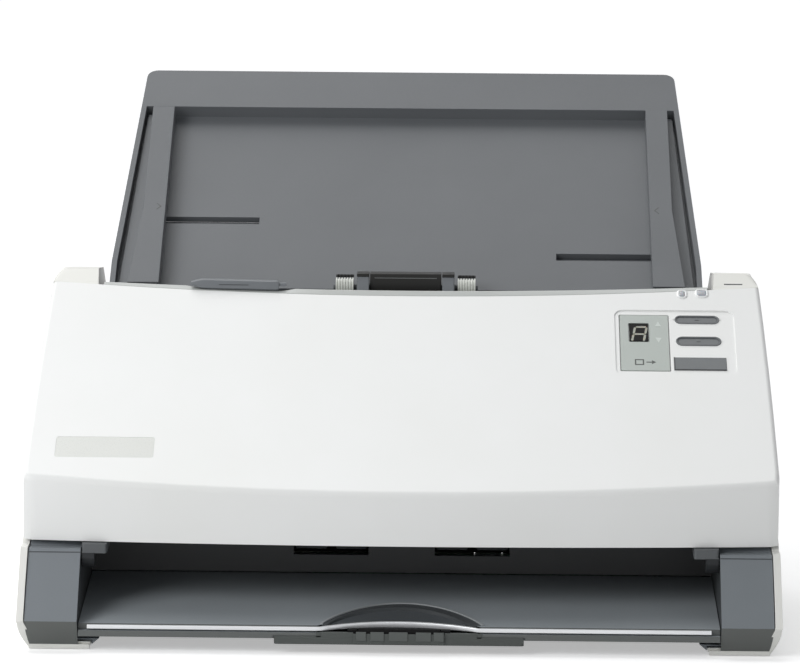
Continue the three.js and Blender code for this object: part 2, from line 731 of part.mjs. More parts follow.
// Main board and its sockets
const board = { left: -40, right: 104, front: 8, low: 9, thickness: 1.8, standoff: 3, standoffInset: 8 };
const boardRear = rearY - rear.wall - clearance * 2;
const boardPosts = [board.left, board.right].flatMap((x, i) => [board.front, boardRear].map((y, j) => [
  x + (i ? -1 : 1) * board.standoffInset, y + (j ? -1 : 1) * board.standoffInset]));
addPiece(
  "main_board",
  join(
    upZ(
      rectangle(board.left, board.right, board.front, boardRear),
      board.low,
      board.low + board.thickness,
    ),
    boardPosts.map(([x, y]) => post(
      board.standoff, housingTop + clearance, board.low + clearance, x, y, general.pinSteps,
    )),
  ),
  "board",
);
const socketFront = (socket) => rearY - socket.depth;
const socketBody = (socket) =>
  upZ(
    rectangle(
      socket.x - socket.width / 2, socket.x + socket.width / 2, socketFront(socket), rearY - clearance,
    ),
    socket.low,
    socket.low + socket.height,
  );
const mouthLow = usb.low + (usb.height - usb.mouthHeight) / 2;
addPiece(
  "usb_socket",
  cut(
    socketBody(usb),
    alongY(
      rectangle(
        usb.x - usb.mouthWidth / 2, usb.x + usb.mouthWidth / 2, mouthLow, mouthLow + usb.mouthHeight,
      ),
      rearY - usb.mouthDepth,
      rearY + overrun,
    ),
  ),
  "silver",
);
const powerMouth = new THREE.CylinderGeometry(
  power.mouthRadius, power.mouthRadius, power.mouthDepth * 2, general.pinSteps,
);
addPiece(
  "power_socket",
  cut(socketBody(power), toSolid(powerMouth.translate(power.x, rearY, power.low + power.height / 2))),
  "black",
);

// Output floor with thumb scoop, trim strip, drawer and paper stop
const trim = { height: 2, low: 9.4, sideRoom: 4, thickness: 1.5, notchDepth: 13, barDrop: 3 };
const trimHalf = pillarInner - trim.sideRoom;
const scoop = { depth: 3, length: 28, chordShare: 0.5, tilt: 1 };
const floorFront = frontY + bay.frontSetback;
const noseLine = (inset, half) => {
  const arc = spread(general.curveSteps * 2 - 1, -1, 1).map((share) => [
    (bay.notchHalf + inset / 2) * share,
    floorFront + inset + trim.notchDepth * (1 - share ** 2),
  ]);
  return [[-half, floorFront + inset], ...arc, [half, floorFront + inset]];
};
const floorRise = Math.atan((bay.rearHeight - bay.frontHeight) / (bay.rear - bay.frontSetback));
const floorHalf = pillarInner - clearance;
const floorSide = [
  [floorFront, bay.frontHeight], [bayRearY - clearance, bay.rearHeight],
  [bayRearY - clearance, bay.rearHeight - bay.floorThickness], [
    floorFront + trim.notchDepth,
    bay.frontHeight - bay.floorThickness / 2,
  ],
  [floorFront + trim.notchDepth / 2, trim.low - trim.barDrop], [floorFront, trim.low - trim.barDrop],
];
const drawer = {
  half: 52, low: 5.2, thickness: 2, length: 66, gripDepth: 3, gripHeight: 3.1, ear: 4, bar: 1.4,
};
const floorInset = trim.thickness + clearance;
const notchLine = noseLine(floorInset, floorHalf).slice(1, -1);
const scoopBall = new THREE.SphereGeometry(1, general.turnSteps * 2, general.pinSteps);
const scoopSize = [
  bay.notchHalf / Math.sqrt(1 - scoop.chordShare ** 2), scoop.length / (1 - scoop.chordShare), scoop.depth,
];
scoopBall.applyMatrix4(
  leaning(
    floorFront,
    bay.frontHeight,
    floorRise,
  )
    .multiply(new THREE.Matrix4().makeTranslation(0, -scoopSize[1] * scoop.chordShare, 0))
    .multiply(new THREE.Matrix4().makeScale(...scoopSize)),
);
const floorPiece = cut(
  acrossX(floorSide, -floorHalf, floorHalf),
  upZ(
    [...noseLine(-overrun, floorHalf + overrun), ...noseLine(floorInset, floorHalf + overrun).reverse()],
    trim.low - clearance,
    overrun,
  ),
  upZ(
    [...notchLine, [notchLine.at(-1)[0], floorFront - overrun], [notchLine[0][0], floorFront - overrun]],
    0,
    overrun,
  ),
  upZ(
    rectangle(
      -drawer.half - clearance, drawer.half + clearance, floorFront - overrun, floorFront + drawer.length,
    ),
    0,
    drawer.low + drawer.thickness + clearance,
  ),
  toSolid(scoopBall),
);
addPiece("output_floor", floorPiece, "bay");
addPiece(
  "output_trim",
  upZ(
    [...noseLine(0, trimHalf), ...noseLine(trim.thickness, trimHalf).reverse()],
    trim.low,
    trim.low + trim.height,
  ),
  "silver",
);
const stop = { half: 17, length: 7.4, thickness: 1.6, hingeRadius: 1.3, axle: 0.8 };
const drawerFront = floorFront - clearance;
const drawerTop = drawer.low + drawer.thickness;
const stopY = drawerFront + stop.hingeRadius + clearance;
const stopZ = drawerTop + stop.hingeRadius + clearance;
const stopCheek = [stopY - stop.hingeRadius, stopY + stop.hingeRadius * 2];
addPiece(
  "output_drawer",
  join(
    upZ(
      rectangle(-drawer.half, drawer.half, drawerFront, drawerFront + drawer.length),
      drawer.low,
      drawerTop,
    ),
    upZ(
      rounded(-drawer.half, drawer.half, drawerFront, drawerFront + drawer.gripDepth, drawer.bar),
      drawerTop - drawer.gripHeight,
      drawerTop,
    ),
    [-1, 1].map((side) => {
      const ends = [
        side * (stop.half + clearance),
        side * (stop.half + clearance + drawer.ear),
      ].sort((a, b) => a - b);
      return acrossX(
        rectangle(stopCheek[0], stopCheek[1], drawerTop - clearance, stopZ + stop.hingeRadius),
        ends[0],
        ends[1],
      );
    }),
    rod(
      stop.axle, -stop.half - drawer.ear / 2, stop.half + drawer.ear / 2, stopY, stopZ, general.pinSteps,
    ),
  ),
  "dark",
);
addPiece(
  "paper_stop",
  cut(
    join(
      rod(stop.hingeRadius + clearance / 2, -stop.half, stop.half, stopY, stopZ, general.postSteps),
      acrossX(
        rectangle(stopY, stopY + stop.length, stopZ - stop.thickness / 2, stopZ + stop.thickness / 2),
        -stop.half,
        stop.half,
      ),
    ),
    rod(
      stop.axle + clearance / 2, -stop.half - overrun, stop.half + overrun, stopY, stopZ,
      general.pinSteps,
    ),
  ),
  "grey",
);

// Cover plan: bulged front with rounded corners, curved rear edge
const coverPlan = (inset) => {
  const frontHalf = halfWidthAt(foldY) - inset;
  const rearHalf = halfWidthAt(coverRearY) - inset;
  const corner = Math.max(cover.corner - inset, cover.corner / 4);
  const frontAt = (x) => {
    const over = Math.max(Math.abs(x) - (frontHalf - corner), 0);
    const cornerBack = corner - Math.sqrt(Math.max(corner ** 2 - over ** 2, 0));
    return foldY - cover.bulge * (1 - (x / frontHalf) ** 2) + inset + cornerBack;
  };
  const rearAt = (x) => coverRearY - cover.rearCurve * (1 - (x / rearHalf) ** 2) - inset;
  const turn = spread(
    general.cornerSteps + 1,
    0,
    Math.PI / 2,
  ).map((angle) => frontHalf - corner + corner * Math.sin(angle));
  const wide = [...spread(general.curveSteps, 0, frontHalf - corner).slice(0, -1), ...turn];
  const frontLine = [...wide.map((x) => -x).reverse(), ...wide.slice(1)].map((x) => [x, frontAt(x)]);
  const sideLine = spread(
    general.curveSteps,
    frontAt(frontHalf),
    rearAt(rearHalf),
  ).slice(1, -1).map((y) => [halfWidthAt(y) - inset, y]);
  const rearLine = spread(general.curveSteps * 2, rearHalf, -rearHalf).map((x) => [x, rearAt(x)]);
  return [...frontLine, ...sideLine, ...rearLine, ...sideLine.map(([x, y]) => [-x, y]).reverse()];
};
const coverFar = foldY - cover.bulge - cover.wall;
const coverEnd = coverRearY + cover.wall;
const shellProfile = [
  [coverFar, cover.lipHeight], [foldY, cover.lipHeight], [coverEnd, partingAt(coverEnd)],
  [coverEnd, topAt(coverEnd)], [coverFar, topAt(coverFar)],
];
const underTop = cover.wall / Math.cos(slope);
const cavityProfile = [
  [coverFar, cover.lipHeight + cover.wall], [coverEnd, cover.lipHeight + cover.wall],
  [coverEnd, topAt(coverEnd) - underTop], [coverFar, topAt(coverFar) - underTop],
];

// Control panel, its keys and the badge field, placed by distance from the rear edge
const controls = {
  edge: 16.8,
  panel: { reach: 50.7, width: 52.4, top: 16.2, bottom: 60.2, corner: 4, depth: 0.5 },
  plate: { reach: 48.4, width: 21.1, top: 19.4, bottom: 56.6, corner: 0.5, depth: 1.4, proud: 0.1 },
  display: { reach: 44.5, width: 8.6, top: 25, bottom: 37.2, corner: 0.5, depth: 0.7 },
  up: { reach: 24.6, width: 20, top: 19.2, bottom: 25.2, corner: 2.9 },
  down: { reach: 24.4, width: 20.2, top: 33.5, bottom: 40, corner: 3.1 },
  scan: { reach: 25.7, width: 23.2, top: 47.5, bottom: 56.4, corner: 0.5 },
  narrowLight: { reach: 21.8, width: 2.6 },
  wideLight: { reach: 13.75, width: 3.9 },
};
const fromEdge = (box) => {
  const left = bodyHalf - controls.edge - box.reach;
  return { ...box, left, right: left + box.width };
};
const [panel, plate, display] = [controls.panel, controls.plate, controls.display].map(fromEdge);
const badge = { inset: 12.8, width: 41.8, top: 103.6, bottom: 116.6, corner: 1, depth: 0.8 };
const badgeBox = {
  ...badge,
  left: -bodyHalf + badge.inset,
  right: -bodyHalf + badge.inset + badge.width,
};
const key = { proud: 0.9, flange: 1.2, flangeThickness: 1 };
const keys = {
  up_key: fromEdge(controls.up),
  down_key: fromEdge(controls.down),
  scan_key: fromEdge(controls.scan),
};
const lights = {
  narrow_status_light: fromEdge(controls.narrowLight),
  wide_status_light: fromEdge(controls.wideLight),
};
const lightPipe = { length: 3.8, depth: 2.2, proud: 0.2, spare: 0.1 };
const edgeAt = (x) => {
  const bow = cover.rearCurve * (1 - (x / halfWidthAt(coverRearY)) ** 2);
  return bow / Math.cos(slope) + lightPipe.spare;
};
const lightBox = ({ left, right }) => ({
  left, right, top: edgeAt(left), bottom: edgeAt(left) + lightPipe.length,
});
const grown = (box, by) => [box.left - by, box.right + by, box.top - by, box.bottom + by];
const lever = { inset: 65.8, width: 40, room: 1.2, notch: 10.4, pocket: 26, skin: 1.6, pointLength: 7 };
const leverLeft = -bodyHalf + lever.inset;
const leverRight = leverLeft + lever.width;
let shell = cut(
  keep(acrossX(shellProfile, -bodyHalf, bodyHalf), upZ(coverPlan(0), 0, tall)),
  keep(acrossX(cavityProfile, -bodyHalf, bodyHalf), upZ(coverPlan(cover.wall), 0, tall)),
);
shell = cut(
  shell,
  onCover(rounded(...grown(panel, 0), panel.corner), -panel.depth, overrun),
  onCover(rounded(...grown(badgeBox, 0), badge.corner), -badge.depth, overrun),
  onCover(rounded(...grown(plate, clearance), plate.corner), -plate.depth - clearance, overrun),
  Object.values(keys).map((each) => onCover(
    rounded(...grown(each, clearance), each.corner),
    -overrun / 4,
    overrun,
  )),
  Object.values(lights).map((each) => onCover(
    rectangle(...grown(lightBox(each), clearance)),
    -lightPipe.depth - clearance,
    overrun,
  )),
  onCover(
    rectangle(leverLeft - lever.room, leverRight + lever.room, -overrun, lever.notch),
    -overrun / 4,
    overrun,
  ),
  onCover(
    rectangle(leverLeft - lever.room, leverRight + lever.room, 0, lever.pocket),
    -overrun / 4,
    -lever.skin,
  ),
);
addPiece("cover_shell", shell, "white");
const plateHigh = plate.proud - panel.depth;
addPiece(
  "display_plate",
  cut(
    onCover(rounded(...grown(plate, 0), plate.corner), -plate.depth, plateHigh),
    onCover(
      rounded(...grown(display, clearance / 2), display.corner),
      plateHigh - display.depth,
      overrun,
    ),
  ),
  "plate",
);
addPiece(
  "display_window",
  onCover(
    rounded(...grown(display, -clearance / 2), display.corner),
    plateHigh - display.depth + clearance / 2,
    plateHigh + clearance / 2,
  ),
  "window",
);
const flangeHigh = -cover.wall - clearance / 2;
for (const [name, each] of Object.entries(keys)) {
  addPiece(
    name,
    join(
      onCover(
        rounded(...grown(each, 0), each.corner),
        flangeHigh - key.flangeThickness,
        key.proud - panel.depth,
      ),
      onCover(
        rounded(...grown(each, key.flange), each.corner),
        flangeHigh - key.flangeThickness,
        flangeHigh,
      ),
    ),
    "midGrey",
  );
}
for (const [name, each] of Object.entries(lights)) {
  addPiece(
    name,
    onCover(rectangle(...grown(lightBox(each), 0)), -lightPipe.depth, lightPipe.proud),
    "light",
  );
}

// Inner guide of the cover: a tray whose lower faces are the bay's ceiling and the upper side of the path
const inner = { inset: 13.4, wall: 2.5, ceiling: 43.2, drop: 2.2, rise: 6, back: 11.1435, path: 1.5 };
const innerRearY = coverRearY - inner.back;
const innerHalf = pillarInner - inner.inset;
const innerFront = foldY + cover.wall / partingRise + clearance;
const innerSide = (offset, low, rearLimit) => besidePath(offset).filter(([y, z]) => y < rearLimit && z > low);
const innerOuter = innerSide(inner.path, inner.ceiling, innerRearY).reverse();
const innerInner = innerSide(
  inner.path + inner.wall,
  inner.ceiling + inner.wall,
  innerRearY - inner.wall,
).reverse();
const bridge = (outline, low) => {
  const [first, second] = outline;
  return [first[0] - ((first[1] - low) * (second[0] - first[0])) / (second[1] - first[1]), low];
};
const innerGuide = cut(
  acrossX(
    [
      [innerFront, inner.ceiling], bridge(innerOuter, inner.ceiling), ...innerOuter,
      [innerRearY, innerOuter.at(-1)[1] + (innerRearY - innerOuter.at(-1)[0]) * partingRise],
      [innerRearY, partingAt(innerRearY) - inner.drop], [innerFront, inner.ceiling + inner.rise],
    ],
    -innerHalf, innerHalf,
  ),
  acrossX(
    [
      [innerFront + inner.wall, inner.ceiling + inner.wall], bridge(innerInner, inner.ceiling + inner.wall),
      ...innerInner, [innerRearY - inner.wall, tall], [innerFront + inner.wall, tall],
    ],
    -innerHalf + inner.wall, innerHalf - inner.wall,
  ),
  onPath(sensorPlace, windowPlan, 0, overrun / 4),
);
addPiece("cover_inner_guide", innerGuide, "bay");

// Slot strip that fills the cover's curved rear edge
const strip = { inset: 14.5, front: 9.1435, behind: 1.0565, drop: 0.6, padHalf: 22.4, padFront: 3.6435 };
const stripHalf = pillarInner - strip.inset;
const stripFront = coverRearY - strip.front;
const stripRear = coverRearY + strip.behind;
const stripPad = coverRearY - strip.padFront;
const stripLow = (y) => pathAtY(y).z + inner.path * Math.hypot(1, Math.tan(pathAtY(y).angle));
const stripUnder = spread(general.cornerSteps, stripFront, stripRear).map((y) => [y, stripLow(y)]);
const stripPiece = cut(
  join(
    acrossX(
      [
        ...stripUnder,
        [stripRear, partingAt(stripRear) - clearance],
        [stripFront, partingAt(stripFront) - clearance],
      ],
      -stripHalf,
      stripHalf,
    ),
    cut(
      acrossX(
        [
          [stripFront, partingAt(stripFront) - clearance * 2],
          [stripRear, partingAt(stripRear) - clearance * 2],
          [stripRear, topAt(stripRear) - strip.drop], [stripFront, topAt(stripFront) - strip.drop],
        ],
        -stripHalf, stripHalf,
      ),
      upZ(coverPlan(-clearance), 0, tall),
    ),
  ),
  upZ(rectangle(-strip.padHalf, strip.padHalf, stripPad, overrun * 2), 0, tall),
  acrossX(
    [
      [stripFront - clearance, partingAt(stripFront) - clearance * 2],
      [stripRear + clearance, partingAt(stripRear) - clearance * 3],
      [stripRear + clearance, tall], [stripFront - clearance, tall],
    ],
    leverLeft - lever.room, leverRight + lever.room,
  ),
);
addPiece("slot_strip", stripPiece, "warmWhite");

// Hinge arms with their pins
const arm = { outer: 0.5, boss: 5.7, inner: 10.8, front: 3.6, rear: 16, thickness: 4, corner: 1 };
const [armOuter, armBoss, armInner] = [
  arm.outer,
  arm.boss,
  arm.inner,
].map((inset) => pillarInner - inset);
const armHigh = cover.lipHeight - clearance;
const armSolid = join(
  upZ(
    rounded(armInner, armOuter, hingeY - arm.front, hingeY + arm.rear, arm.corner),
    armHigh - arm.thickness,
    armHigh,
  ),
  rod(hinge.bossRadius, armBoss, armOuter, hingeY, hingeZ, general.pinSteps),
  rod(hinge.pinRadius, armBoss, pillarInner + hinge.depth, hingeY, hingeZ, general.pinSteps),
);
addPiece("right_hinge_arm", armSolid, "bay");
addPiece("left_hinge_arm", mirrored(armSolid), "bay");

// Latch: lever on a bar that turns two hooks
const latchZ = partingAt(latchY) + latch.lift;
const hookProfile = [
  [latchY - latch.hookThickness / 2, latchZ], [latchY + latch.hookThickness / 2, latchZ],
  [
    latchY + latch.hookThickness / 2,
    latchZ - latch.hookDrop,
  ], [latchY - latch.hookThickness / 2, latchZ - latch.hookDrop],
  [latchY - latch.hookThickness / 2 - latch.toe, latchZ - latch.hookDrop + latch.toeHeight],
  [latchY - latch.hookThickness / 2, latchZ - latch.hookDrop + latch.toeHeight],
];
addPiece(
  "latch_bar",
  join(
    rod(
      latch.radius, -hookRight - latch.spare, hookRight + latch.spare, latchY, latchZ, general.pinSteps,
    ),
    acrossX(hookProfile, hookLeft, hookRight),
    acrossX(hookProfile, -hookRight, -hookLeft),
  ),
  "steel",
);
const tab = {
  hub: 2.5, hubRise: 2, hubDrop: 1.75, underArm: 13, underRise: 8.6, overArm: 12.6, overRise: 10.9,
  root: 14.8, rootRise: 13.2, face: 15.4, back: 19.4, top: 21.6, waist: 17, heel: 16.6, heelRise: 11.8,
};
const tabProfile = [
  [-tab.hub, 0], [-tab.hub / 2, tab.hubRise], [tab.overArm, tab.overRise], [tab.root, tab.rootRise],
  [tab.face, tab.top], [tab.back, tab.top], [tab.back, tab.waist], [tab.heel, tab.heelRise],
  [tab.underArm, tab.underRise], [tab.hub, 0], [0, -tab.hubDrop],
].map(([y, z]) => [latchY + y, latchZ + z]);
const leverPlan = [
  [leverLeft, latchY + tab.waist], [leverLeft + lever.pointLength, latchY - tab.hub * 2],
  [leverRight, latchY - tab.hub * 2], [leverRight, latchY + tab.back * 2],
  [leverLeft + lever.pointLength, latchY + tab.back * 2],
];
addPiece(
  "release_lever",
  cut(
    keep(acrossX(tabProfile, leverLeft, leverRight), upZ(leverPlan, 0, tall)),
    rod(latch.bore, leverLeft - overrun, leverRight + overrun, latchY, latchZ, general.pinSteps),
  ),
  "lever",
);

// Pad unit and the ribbed wheels beside it
const pad = {
  behind: 5.8565, below: 2.3, axle: 1.4, bore: 1.75, cheekInner: 16.2, cheekOuter: 21.6, wheelInner: 23,
  wheelOuter: 31, spare: 1,
};
const padY = coverRearY + pad.behind;
const padZ = coverRearZ - pad.below;
const padShape = {
  nose: 1, front: 3.4, rear: 5, top: 6.5, bottom: 4.4, faceFront: 2, faceRear: 4, thickness: 1.3,
  cheekTop: 4.6,
};
const cheekProfile = [
  [
    stripPad + clearance,
    partingAt(stripPad) + clearance * 2,
  ], [padY + padShape.rear, padZ - padShape.bottom + clearance],
  [padY + padShape.rear + padShape.nose, padZ], [padY + padShape.rear, padZ + padShape.cheekTop], [
    padY - padShape.front,
    padZ + padShape.cheekTop,
  ],
  [stripPad + clearance, topAt(stripPad) - cover.wall],
];
addPiece(
  "pad_bracket",
  join(
    acrossX(cheekProfile, -pad.cheekOuter, -pad.cheekInner),
    acrossX(cheekProfile, pad.cheekInner, pad.cheekOuter),
    rod(pad.axle, -pad.wheelOuter - pad.spare, pad.wheelOuter + pad.spare, padY, padZ, general.pinSteps),
  ),
  "midGrey",
);
const padHalf = pad.cheekInner - clearance;
addPiece(
  "pad_holder",
  cut(
    acrossX(
      [
        [padY - padShape.front, padZ - padShape.faceFront],
        [padY + padShape.rear, padZ - padShape.bottom + padShape.thickness + clearance],
        [padY + padShape.rear + padShape.faceFront / 2, padZ],
        [padY + padShape.rear, padZ + padShape.top],
        [padY - padShape.front, padZ + padShape.top],
      ],
      -padHalf, padHalf,
    ),
    rod(pad.bore, -padHalf - overrun, padHalf + overrun, padY, padZ, general.pinSteps),
  ),
  "black",
);
addPiece(
  "separation_pad",
  acrossX(
    [
      [padY - padShape.front, padZ - padShape.faceFront - clearance],
      [padY - padShape.front, padZ - padShape.faceFront - clearance - padShape.thickness],
      [padY + padShape.faceRear, padZ - padShape.bottom], [padY + padShape.rear, padZ - padShape.bottom],
      [padY + padShape.rear, padZ - padShape.bottom + padShape.thickness - clearance / 2],
    ],
    -padHalf + clearance, padHalf - clearance,
  ),
  "rubber",
);
const wheel = { radius: 4.3, ribs: 16, groove: 0.6, ribShare: 0.5, grooveShares: [0.8, 1.2] };
const wheelTurns = Array.from({ length: wheel.ribs }, (_, i) => (i * 2 * Math.PI) / wheel.ribs);
const wheelOutline = wheelTurns.flatMap((angle) => {
  const half = Math.PI / wheel.ribs;
  return [[angle - half * wheel.ribShare, wheel.radius], [angle + half * wheel.ribShare, wheel.radius],
    ...wheel.grooveShares.map((share) => [angle + half * share, wheel.radius - wheel.groove])]
    .map(([turn, radius]) => [padY + radius * Math.cos(turn), padZ + radius * Math.sin(turn)]);
});
for (const side of ["left", "right"]) {
  const ends = side === "left" ? [-pad.wheelOuter, -pad.wheelInner] : [pad.wheelInner, pad.wheelOuter];
  addPiece(
    `${side}_ribbed_wheel`,
    cut(
      acrossX(wheelOutline, ...ends),
      rod(pad.bore, ends[0] - overrun, ends[1] + overrun, padY, padZ, general.pinSteps),
    ),
    "warmWhite",
  );
}

// Chute: plate, rims, rails below for the extension, legs that stand in the slot
const chute = {
  behind: 14.8565,
  below: 3.1,
  length: 151.4,
  start: -2,
  rimStart: -8,
  sideRoom: 2.4,
  narrowing: 7.85,
  taperStart: 9,
  thickness: 3,
  rim: 2.4,
  rimHeight: 6,
  corner: 5,
  ledge: 28,
  ledgeHeight: 6,
};
const chuteY = coverRearY + chute.behind;
const chuteZ = coverRearZ - chute.below;
const chuteHalf = pillarInner - chute.sideRoom;
const onChute = (points, low, high) =>
  toSolid(extruded(points, low, high).applyMatrix4(leaning(chuteY, chuteZ, slope)));
const chutePost = (radius, low, high, u) => {
  const round = new THREE.CylinderGeometry(radius, radius, high - low, general.pinSteps);
  round.rotateX(Math.PI / 2).translate(0, u, (low + high) / 2);
  return toSolid(round.applyMatrix4(leaning(chuteY, chuteZ, slope)));
};
const chuteTaper = chute.narrowing / (chute.length - chute.taperStart);
const chuteOutline = (inset, low) => {
  const edge = chuteHalf - inset;
  const cornerAt = chute.length - chute.corner;
  const narrow = edge - chuteTaper * (cornerAt - chute.taperStart);
  const radius = chute.corner - inset;
  const arc = spread(general.cornerSteps + 2, 0, Math.PI / 2).map((turn) => [
    narrow - radius + radius * Math.cos(turn),
    cornerAt + radius * Math.sin(turn),
  ]);
  const side = [[edge, low], [edge, chute.taperStart], ...arc];
  return [...side, ...side.map(([x, u]) => [-x, u]).reverse()];
};
const guide = {
  inner: 22,
  ridge: 12,
  ridgeLow: 8,
  slit: 1,
  flare: 54,
  start: -8,
  endGap: 30.6,
  step: 3,
  top: 8,
  lift: 0.4,
  travel: 50,
  neck: 4,
};
const guideEnd = chute.length - guide.endGap;
const [guideInner, guideRidge, guideRidgeLow] = [
  guide.inner,
  guide.ridge,
  guide.ridgeLow,
].map((inset) => chuteHalf - inset);
const chuteHalfAt = (u) => chuteHalf - chuteTaper * Math.max(u - chute.taperStart, 0);
const guideEdge = (u) => chuteHalfAt(u) - chute.rim - guide.slit;
const pinion = { teeth: 16, u: 34, axle: 2.7, bore: 3.1, thickness: 3, axleOverrun: 1 };
const pinionHigh = -chute.thickness - clearance;
const rack = { depth: 6, inside: 6, thickness: 3 };
const rackNear = pitchRadius(pinion.teeth) + gears.dedendum;
const rackFar = rackNear + rack.depth;
const rackMiddle = (rackNear + rackFar) / 2;
const rail = { half: 62, height: 6.2, web: 2.4, lip: 4, lipHeight: 1.6, start: 56, endGap: 7.6 };
const railEnd = chute.length - rail.endGap;
const leg = { thickness: 4.4, front: 1, depth: 6.6, length: 13 };
const under = -chute.thickness + clearance;
const railPieces = [-1, 1].flatMap((side) => {
  const web = [
    side * (rail.half + clearance),
    side * (rail.half + clearance + rail.web),
  ].sort((a, b) => a - b);
  const lip = [
    side * (rail.half - rail.lip),
    side * (rail.half + clearance + rail.web),
  ].sort((a, b) => a - b);
  return [
    onChute(rectangle(web[0], web[1], rail.start, railEnd), -chute.thickness - rail.height, under),
    onChute(
      rectangle(lip[0], lip[1], rail.start, railEnd),
      -chute.thickness - rail.height,
      -chute.thickness - rail.height + rail.lipHeight,
    ),
  ];
});
const legPieces = [-1, 1].map((side) => {
  const ends = [side * (chuteHalf - leg.thickness), side * chuteHalf].sort((a, b) => a - b);
  const [low, high] = [chuteY - leg.front, chuteY - leg.front + leg.depth];
  return acrossX(
    [
      [low, chuteZ - leg.length], [high, chuteZ - leg.length], [high, chuteZ + clearance],
      [low, chuteZ - leg.front],
    ],
    ends[0],
    ends[1],
  );
});
const guideSlot = (side) => {
  const u = pinion.u - side * rackMiddle;
  const xs = [
    side * (guideRidge + guide.neck / 2 + clearance),
    side * (guideRidge - guide.neck / 2 - guide.travel - clearance),
  ].sort((a, b) => a - b);
  return onChute(
    rectangle(xs[0], xs[1], u - guide.neck / 2 - clearance, u + guide.neck / 2 + clearance),
    -overrun / 4,
    overrun / 4,
  );
};
const chuteSolid = cut(
  join(
    onChute(chuteOutline(0, chute.start), -chute.thickness, 0),
    cut(
      onChute(chuteOutline(0, chute.start), -clearance, chute.rimHeight),
      onChute(chuteOutline(chute.rim, chute.start - overrun), -chute.thickness, overrun),
    ),
    [-1, 1].map((side) => {
      const ends = [side * (chuteHalf - chute.rim), side * chuteHalf].sort((a, b) => a - b);
      return onChute(rectangle(ends[0], ends[1], chute.rimStart, chute.taperStart), 0, chute.rimHeight);
    }),
    cut(
      onChute(chuteOutline(chute.rim / 2, chute.start), -clearance, chute.ledgeHeight),
      onChute(
        rectangle(-body.width, body.width, -overrun, chute.length - chute.ledge),
        -overrun,
        overrun,
      ),
    ),
    railPieces,
    legPieces,
    chutePost(pinion.axle, pinionHigh - pinion.thickness - pinion.axleOverrun, under, pinion.u),
  ),
  guideSlot(-1),
  guideSlot(1),
);
addPiece("chute", chuteSolid, "grey");
const extension = { low: 6.6, high: 4.2, start: 60, endGap: 5.6, corner: 8 };
addPiece(
  "chute_extension",
  onChute(
    rounded(
      -rail.half + clearance, rail.half - clearance, extension.start, chute.length - extension.endGap,
      extension.corner,
    ),
    -extension.low,
    -extension.high,
  ),
  "grey",
);
const guideSolid = (side) => {
  const flip = (points) => points.map(([x, u]) => [x * side, u]);
  const u = pinion.u - side * rackMiddle;
  const step = Math.PI * gears.module;
  const rackEnd = -rack.inside;
  const toothLine = [];
  const root = rackNear;
  const tip = pitchRadius(pinion.teeth) - gears.addendum;
  for (let x = step / 2 - step * 2; x < guideInner - guide.travel; x += step) {
    toothLine.push(
      [x - step * toothShares.root, root], [x - step * toothShares.tip, tip],
      [x + step * toothShares.tip, tip], [x + step * toothShares.root, root],
    );
  }
  const rackPlan = [
    [rackEnd, root], ...toothLine, [guideRidge + guide.neck / 2, root],
    [guideRidge + guide.neck / 2, rackFar], [rackEnd, rackFar],
  ];
  return join(
    onChute(
      flip([
        [guideInner, guide.start], [guideEdge(guide.start), guide.start],
        [guideEdge(guideEnd), guideEnd], [guideInner, guideEnd],
      ]),
      guide.lift,
      guide.step,
    ),
    onChute(
      flip([
        [guideInner, guide.start], [guideRidgeLow, guide.start], [guideRidge, guide.start + guide.flare],
        [guideRidge, guideEnd], [guideInner, guideEnd],
      ]),
      guide.lift,
      guide.top,
    ),
    onChute(
      rectangle(
        side * guideRidge - guide.neck / 2, side * guideRidge + guide.neck / 2, u - guide.neck / 2,
        u + guide.neck / 2,
      ),
      pinionHigh - rack.thickness,
      guide.step,
    ),
    onChute(
      rackPlan.map(([x, v]) => [x * side, pinion.u - side * v]),
      pinionHigh - rack.thickness,
      pinionHigh,
    ),
  );
};
addPiece("left_side_guide", guideSolid(-1), "grey");
addPiece("right_side_guide", guideSolid(1), "grey");
addPiece(
  "guide_pinion",
  cut(
    onChute(
      gearOutline(pinion.teeth, Math.PI / 2).map(([x, u]) => [x, pinion.u + u]),
      pinionHigh - pinion.thickness,
      pinionHigh,
    ),
    chutePost(pinion.bore, -overrun, overrun, pinion.u),
  ),
  "gear",
);

// Stand the part on its feet, with the middle of its box at the origin
const box = new THREE.Box3().setFromObject(group);
const middle = box.getCenter(new THREE.Vector3());
for (const mesh of group.children) mesh.geometry.translate(-middle.x, -middle.y, -box.min.z);

export default group;
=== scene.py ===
import json
import math
import bmesh
import bpy
from mathutils import Matrix, Vector


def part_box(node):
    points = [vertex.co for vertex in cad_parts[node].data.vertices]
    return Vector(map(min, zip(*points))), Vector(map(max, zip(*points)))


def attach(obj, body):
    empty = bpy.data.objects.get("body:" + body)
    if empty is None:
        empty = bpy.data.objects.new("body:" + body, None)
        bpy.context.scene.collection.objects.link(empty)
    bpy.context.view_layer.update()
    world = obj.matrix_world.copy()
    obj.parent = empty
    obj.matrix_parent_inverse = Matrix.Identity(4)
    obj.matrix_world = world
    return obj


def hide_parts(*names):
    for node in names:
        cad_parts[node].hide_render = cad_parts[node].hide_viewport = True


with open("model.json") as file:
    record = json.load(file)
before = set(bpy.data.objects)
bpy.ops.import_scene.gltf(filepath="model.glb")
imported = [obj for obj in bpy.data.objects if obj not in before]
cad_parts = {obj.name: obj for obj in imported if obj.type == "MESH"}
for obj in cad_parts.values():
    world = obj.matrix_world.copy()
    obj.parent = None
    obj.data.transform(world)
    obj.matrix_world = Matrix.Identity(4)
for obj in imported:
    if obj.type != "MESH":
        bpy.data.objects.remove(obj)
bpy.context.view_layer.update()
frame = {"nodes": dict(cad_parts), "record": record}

nodes = frame["nodes"]
record = frame["record"]
bodyOf = {node: body for body, members in record["behaviour"]["bodies"].items() for node in members}
